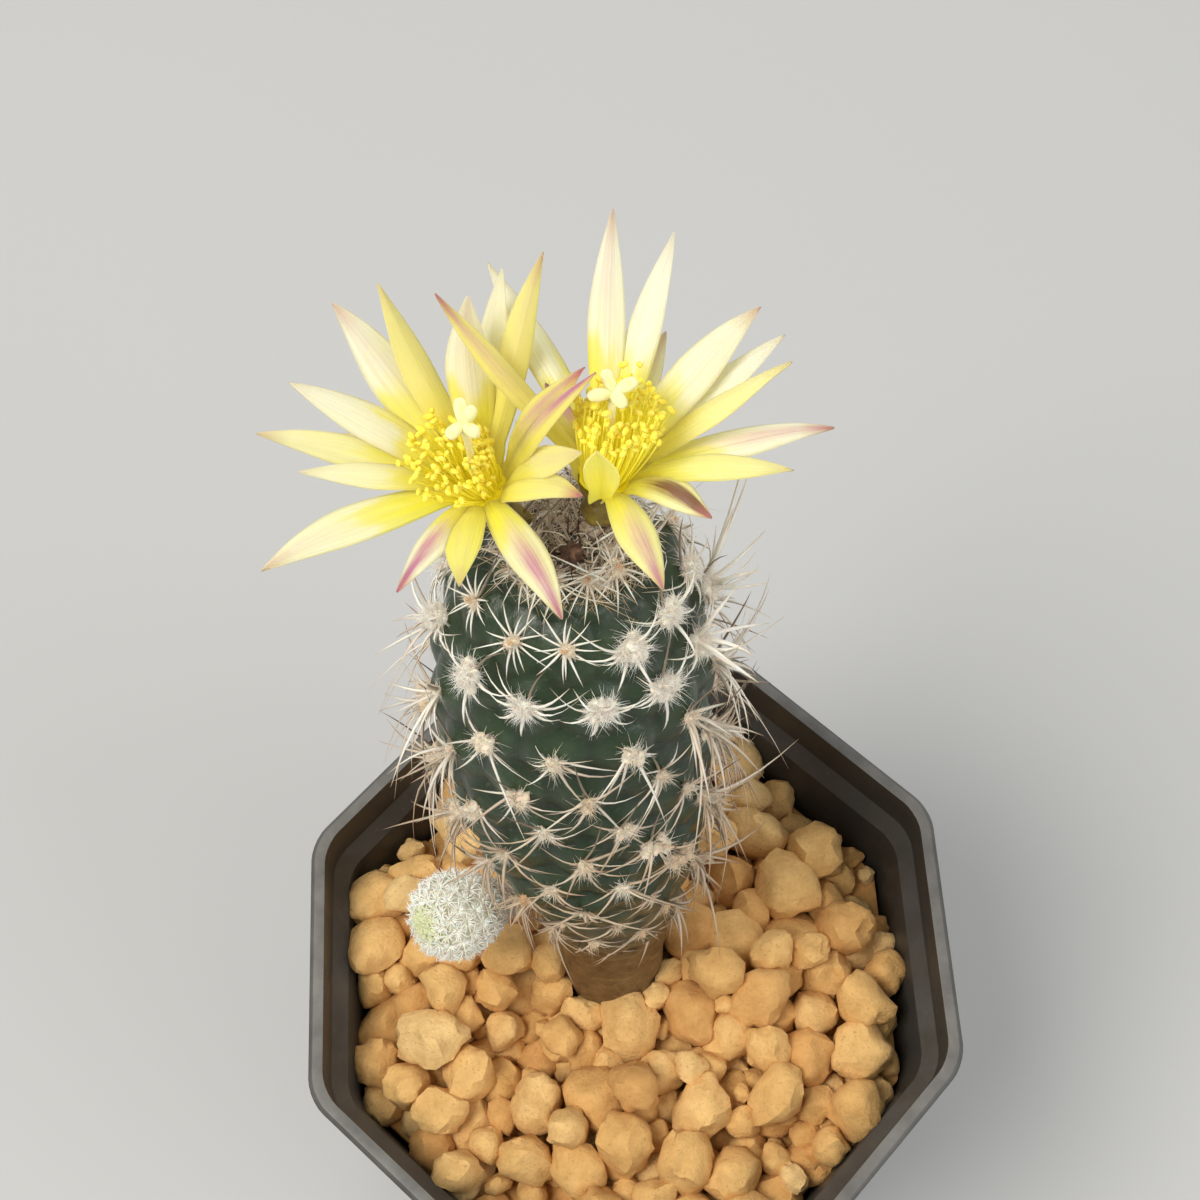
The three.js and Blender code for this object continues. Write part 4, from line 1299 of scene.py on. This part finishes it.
# Painted shade: petals that face away from the light are mixed toward tan.
base = petal_look.mix(petal_look.value("tan"), base, (0.78, 0.62, 0.19))
base = petal_look.mix(petal_look.ramp(streaks, (0.38, 0.0), (0.7, 0.38)), base, (0.74, 0.59, 0.28))
middle = petal_look.sum("ABSOLUTE", petal_look.sum("SUBTRACT", over, 0.5))
base = petal_look.mix(petal_look.ramp(middle, (0.42, 0.0), (0.5, 0.4)), base, (0.7, 0.52, 0.22))
bell = petal_look.ramp(middle, (0.0, 1.0), (0.12, 0.85), (0.34, 0.0))
onset = petal_look.ramp(along, (0.3, 0.0), (0.5, 0.45), (0.68, 0.9), (0.9, 1.0))
rose = petal_look.sum("MULTIPLY", petal_look.sum("MULTIPLY", bell, onset), petal_look.value("stripe"))
rose = petal_look.sum("MULTIPLY", rose, petal_look.ramp(streaks, (0.3, 0.55), (0.7, 1.0)))
rose = petal_look.sum("MULTIPLY", rose, petal_look.ramp(cloud, (0.3, 0.6), (0.6, 1.0)))
pink = petal_look.ramp(along, (0.36, (0.66, 0.4, 0.14)), (0.58, (0.52, 0.22, 0.29)), (0.85, (0.4, 0.1, 0.27)))
deep = petal_look.sum("MULTIPLY", petal_look.sum("SUBTRACT", petal_look.value("stripe"), 1.2), 1.3)
pink = petal_look.mix(petal_look.clamp(deep), pink, (0.1, 0.02, 0.016))
base = petal_look.mix(petal_look.clamp(petal_look.sum("MULTIPLY", rose, 1.6)), base, pink)
at_tip = petal_look.sum("MULTIPLY", petal_look.ramp(along, (0.84, 0.0), (0.99, 1.0)), petal_look.value("tip"))
petal_look.colour(petal_look.mix(petal_look.clamp(at_tip), base, (0.36, 0.06, 0.13)))
petal_look.roughness(petal_look.ramp(streaks, (0.3, 0.3), (0.7, 0.45)))
petal_look.bump(streaks, 0.12 * mm, 0.8)

# Painted glow: the throat emits a little yellow, standing in for light shining through the petals into it.
throat_look = Finish("throat", 0.5, Emission_Color=(0.95, 0.8, 0.02, 1), Emission_Strength=0.2)
throat_look.colour(throat_look.ramp(
    throat_look.noise(900, 3), (0.3, (0.88, 0.76, 0.01)), (0.7, (0.92, 0.84, 0.05))
))
throat_look.bump(throat_look.noise(2000, 3), 0.05 * mm, 0.5)

for flower in (left_flower, right_flower):
    blades = []
    for number, petal in enumerate(flower.petals):
        azimuth, rise, length, width, arch, cream_share, shade_tan_share, stripe, tip, twist = petal
        width *= mm
        chance = random.Random(100 + number + (0 if flower.side == "left" else 50))
        spine = petal_spine(flower, azimuth, rise, length * mm, arch, overlap * (number % 2))
        flat = flower.sideways(math.radians(azimuth))
        bpy.ops.object.select_all(action="DESELECT")
        bpy.ops.mesh.primitive_grid_add(
            x_subdivisions=petal_columns, y_subdivisions=petal_rows, size=1, calc_uvs=True
        )
        blade = bpy.context.object
        blade.data.uv_layers[0].name = "blade"
        claw_share = claw_length / spine.length
        waves = chance.uniform(0, whole_turn)
        fold = chance.uniform(0.3, 0.6)
        for point in blade.data.vertices:
            over_share, along_share = 2 * point.co.x, point.co.y + 0.5
            place, way = spine.at(spine.length * min(along_share, 0.992))
            outward = max((along_share - claw_share) / (1 - claw_share), 0)
            past = max(2 * outward - 1, 0)
            swell = 0.6 + 0.4 * math.sin(math.pi * outward) if past == 0 else 1 - past ** 1.65
            claw_width = (1.0 - 3.5 * outward) * mm
            half_width = max(0.5 * width * max(swell, 0.012), claw_width)
            roll = math.radians(twist) * outward * 2
            cross = flat * math.cos(roll) + flat.cross(way).normalized() * math.sin(roll)
            face = cross.cross(way).normalized()
            keel = fold * half_width * abs(over_share) ** 1.25 * (1 - 0.3 * outward)
            ripple = petal_ripple * over_share * min(1, 3 * outward)
            ripple *= math.sin(13 * along_share + waves + 1.3 * over_share)
            sway = 0.09 * width * math.sin(4.2 * outward + waves) * outward
            point.co = place + cross * (half_width * over_share + sway) + face * (keel + ripple)
        # The tan mark is painted shade on petals that face away from the light.
        marks = {"cream": cream_share, "tan": shade_tan_share, "stripe": stripe, "tip": tip}
        marks["which"] = chance.random()
        # Painted glow: how much of the stronger backlight glow an upright petal gets.
        marks["upright"] = max(rise - 62, 0) / 8
        for name, share in marks.items():
            values = [share] * len(blade.data.vertices)
            blade.data.attributes.new(name, "FLOAT", "POINT").data.foreach_set("value", values)
        blades.append(blade)
    petals = join(blades)
    thicken(petals, petal_thickness)
    node = f"flower_{flower.side}_petals"
    finish(petals, f"flower_{flower.side}_blades", petal_look.material, (node,))

    throat = drawn_out("throat", 30, [0.25, 0.6, 0.85, 1.0, 1.06, 1.1])
    open_top(throat)
    for point in throat.data.vertices:
        radius = throat_radius * (1 + 0.05 * math.cos(9 * math.atan2(point.co.y, point.co.x)))
        height = point.co.z * throat_height - throat_foot
        point.co = flower.at(point.co.x * radius, point.co.y * radius, height)
    thicken(throat, petal_thickness)
    finish(throat, f"flower_{flower.side}_throat", throat_look.material)


# Stamens
# A brush of thin yellow filaments that rise from the throat, each with a bright yellow pollen sac
# at its end. Filament and sac are modelled once and copied.
bpy.ops.object.select_all(action="DESELECT")
bpy.ops.mesh.primitive_uv_sphere_add(segments=7, ring_count=5, radius=1)
sac_shape = shape_of(bpy.context.object)
filament_shape = shape_of(drawn_out("filament", 4, [1.0, 0.95, 0.9, 0.85, 0.8]))
stamen_count = 135
filament_radius = 0.1 * mm
pollen = Finish("pollen", 0.8, Subsurface_Weight=0.3, Subsurface_Scale=0.5 * mm)
pollen.colour(pollen.ramp(pollen.noise(2500, 3), (0.3, (0.95, 0.7, 0.02)), (0.7, (1.0, 0.9, 0.16))))
pollen.bump(pollen.noise(5000, 3), 0.08 * mm, 0.8)
# Painted glow: the filaments emit a little yellow, standing in for light shining through the flower.
filament_look = Finish("filament", 0.5, Emission_Color=(0.95, 0.82, 0.04, 1), Emission_Strength=0.12)
filament_look.colour(
    filament_look.ramp(filament_look.value("along"), (0.0, (0.86, 0.74, 0.01)), (1.0, (0.94, 0.86, 0.1)))
)
filament_look.bump(filament_look.noise(3000, 2), 0.02 * mm, 0.3)
for flower in (left_flower, right_flower):
    chance = random.Random(31 if flower.side == "left" else 47)
    filaments, sacs = Heap(), Heap()
    drop = 3.0 if flower.side == "left" else 1.8
    for i in range(stamen_count):
        share = math.sqrt((i + 0.5) / stamen_count)
        turn = i * golden + chance.uniform(-0.2, 0.2)
        reach = (0.7 + 3.0 * share + chance.uniform(-0.5, 0.5)) * mm
        height = flower.brush_height - (drop * share + chance.uniform(-1.2, 1.5)) * mm
        lean = flower.brush_lean * share
        foot = flower.around(turn, (0.5 + 1.3 * share) * mm, (-2.8 + 1.4 * share) * mm)
        head = flower.at(reach * math.cos(turn) + lean.x, reach * math.sin(turn) + lean.y, height)
        length = (head - foot).length
        way = (head - foot + length * 0.12 * flower.outward(turn)).normalized()
        pull = (head - foot) / length - way
        points, faces = bent_copy(filament_shape, foot, way, length, filament_radius, pull)
        filaments.add(points, faces, along=along_of(filament_shape))
        tilt = any_tilt(chance)
        size = chance.uniform(0.24, 0.33) * mm
        points, faces = sac_shape
        sacs.add([head + tilt @ Vector((p.x, p.y * 0.85, p.z * 1.5)) * size for p in points], faces)
    filaments = filaments.piece("filaments")
    node = f"flower_{flower.side}_stamens"
    finish(filaments, f"flower_{flower.side}_filaments", filament_look.material, (node,))
    finish(sacs.piece("anthers"), f"flower_{flower.side}_anthers", pollen.material)


# Stigmas
# A cream style through the middle of the stamens, that ends in four blunt velvety lobes. The style is
# drawn out from a ring, and the lobes are plump rounded bars that spread and curl a little upward.
style_foot = seam - 4.2 * mm
style_length = 14.2 * mm
style_radius = 0.42 * mm
lobe_foot = style_foot + style_length - 0.15 * mm
lobe_radius = 0.56 * mm
cream_velvet = Finish("cream_velvet", 0.7, Subsurface_Weight=0.35, Subsurface_Scale=0.8 * mm)
cream_velvet.colour(
    cream_velvet.ramp(cream_velvet.noise(1500, 3), (0.3, (0.88, 0.82, 0.34)), (0.7, (0.95, 0.91, 0.52)))
)
cream_velvet.bump(cream_velvet.noise(6000, 2), 0.06 * mm, 0.8)
# Turn in degrees, rise and length of each lobe
left_lobes = [(95, 0.35, 2.2), (228, 0.3, 2.0), (312, 0.25, 2.0), (20, 1.6, 1.3)]
right_lobes = [(20, 0.35, 2.3), (112, 0.5, 2.0), (200, 0.3, 2.4), (292, 0.4, 2.1)]
for flower, lobes in ((left_flower, left_lobes), (right_flower, right_lobes)):
    style = drawn_out("style", 12, [1.0, 0.97, 0.93, 0.9, 0.86, 0.83, 0.8])
    for point in style.data.vertices:
        height = style_foot + point.co.z * style_length
        point.co = flower.at(point.co.x * style_radius, point.co.y * style_radius, height)
    parts = [style]
    for degrees, rise, length in lobes:
        lobe = drawn_out("lobe", 12, [0.5, 0.8, 0.92, 1.0, 1.06, 1.08, 0.95, 0.55])
        flat = flower.outward(math.radians(degrees))
        cross = flower.sideways(math.radians(degrees))
        thick = cross.cross((flat + flower.axis * rise).normalized())
        for point in lobe.data.vertices:
            t = point.co.z
            reach = length * mm * (t - 0.08)
            lift = reach * rise + 0.3 * mm * math.sin(2.6 * t)
            bumpy = lobe_radius * (1 + 0.18 * noise.noise(point.co * 2.4 + Vector((degrees, 0, 0))))
            centre = flower.at(0, 0, lobe_foot) + flat * reach + flower.axis * lift
            point.co = centre + cross * (point.co.x * bumpy) + thick * (point.co.y * bumpy * 0.85)
        close_and_turn_out(lobe)
        refine(lobe)
        parts.append(lobe)
    style = join(parts)
    close_and_turn_out(style)
    node = f"flower_{flower.side}_stigma"
    finish(style, f"flower_{flower.side}_style", cream_velvet.material, (node,))


# Floor, light and camera
# A plain pale floor under soft studio light, seen from where the photograph was taken: close above
# the flowers, looking down at the pot.
bpy.ops.object.select_all(action="DESELECT")
bpy.ops.mesh.primitive_plane_add(size=4, location=(0, 0, 0))
floor = bpy.context.object
floor.name = "floor"
floor_paint = Finish("floor_paint", 0.9)
floor_paint.colour(floor_paint.mix(floor_paint.noise(3, 2), (0.5, 0.5, 0.49), (0.53, 0.53, 0.52)))
floor.data.materials.append(floor_paint.material)

world = bpy.data.worlds.new("studio")
bpy.context.scene.world = world
world.use_nodes = True
world.node_tree.nodes["Background"].inputs["Color"].default_value = (1.0, 0.99, 0.97, 1)
world.node_tree.nodes["Background"].inputs["Strength"].default_value = 0.42


def soft_light(name, place, aim, size, power, colour):
    lamp = bpy.data.lights.new(name, "AREA")
    lamp.shape = "DISK"
    lamp.size = size
    lamp.energy = power
    lamp.color = colour
    made = bpy.data.objects.new(name, lamp)
    made.location = place
    made.rotation_euler = (Vector(aim) - Vector(place)).to_track_quat("-Z", "Y").to_euler()
    bpy.context.collection.objects.link(made)


soft_light("key", (-0.35, -0.15, 0.75), (0, 0, 0.1), 0.4, 5.0, (1.0, 0.98, 0.94))
soft_light("fill", (0.6, -0.35, 0.45), (0, 0, 0.1), 0.6, 2.3, (0.95, 0.98, 1.0))
soft_light("back", (0.1, 0.7, 0.5), (0, 0, 0.12), 0.5, 1.5, (1.0, 1.0, 1.0))

lens = bpy.data.cameras.new("camera")
lens.sensor_width = 36
lens.lens = 60
lens.clip_start = 0.01
camera = bpy.data.objects.new("camera", lens)
right = Vector((0.99861, -0.05198, -0.0087)).normalized()
ahead = Vector((0.01603, 0.45682, -0.88942)).normalized()
above = right.cross(ahead)
turned = Matrix((right, above, -ahead)).transposed()
camera.matrix_world = Matrix.Translation(Vector((-5.178, -70.562, 293.0)) * mm) @ turned.to_4x4()
bpy.context.collection.objects.link(camera)
bpy.context.scene.camera = camera
bpy.context.scene.view_settings.view_transform = "Standard"
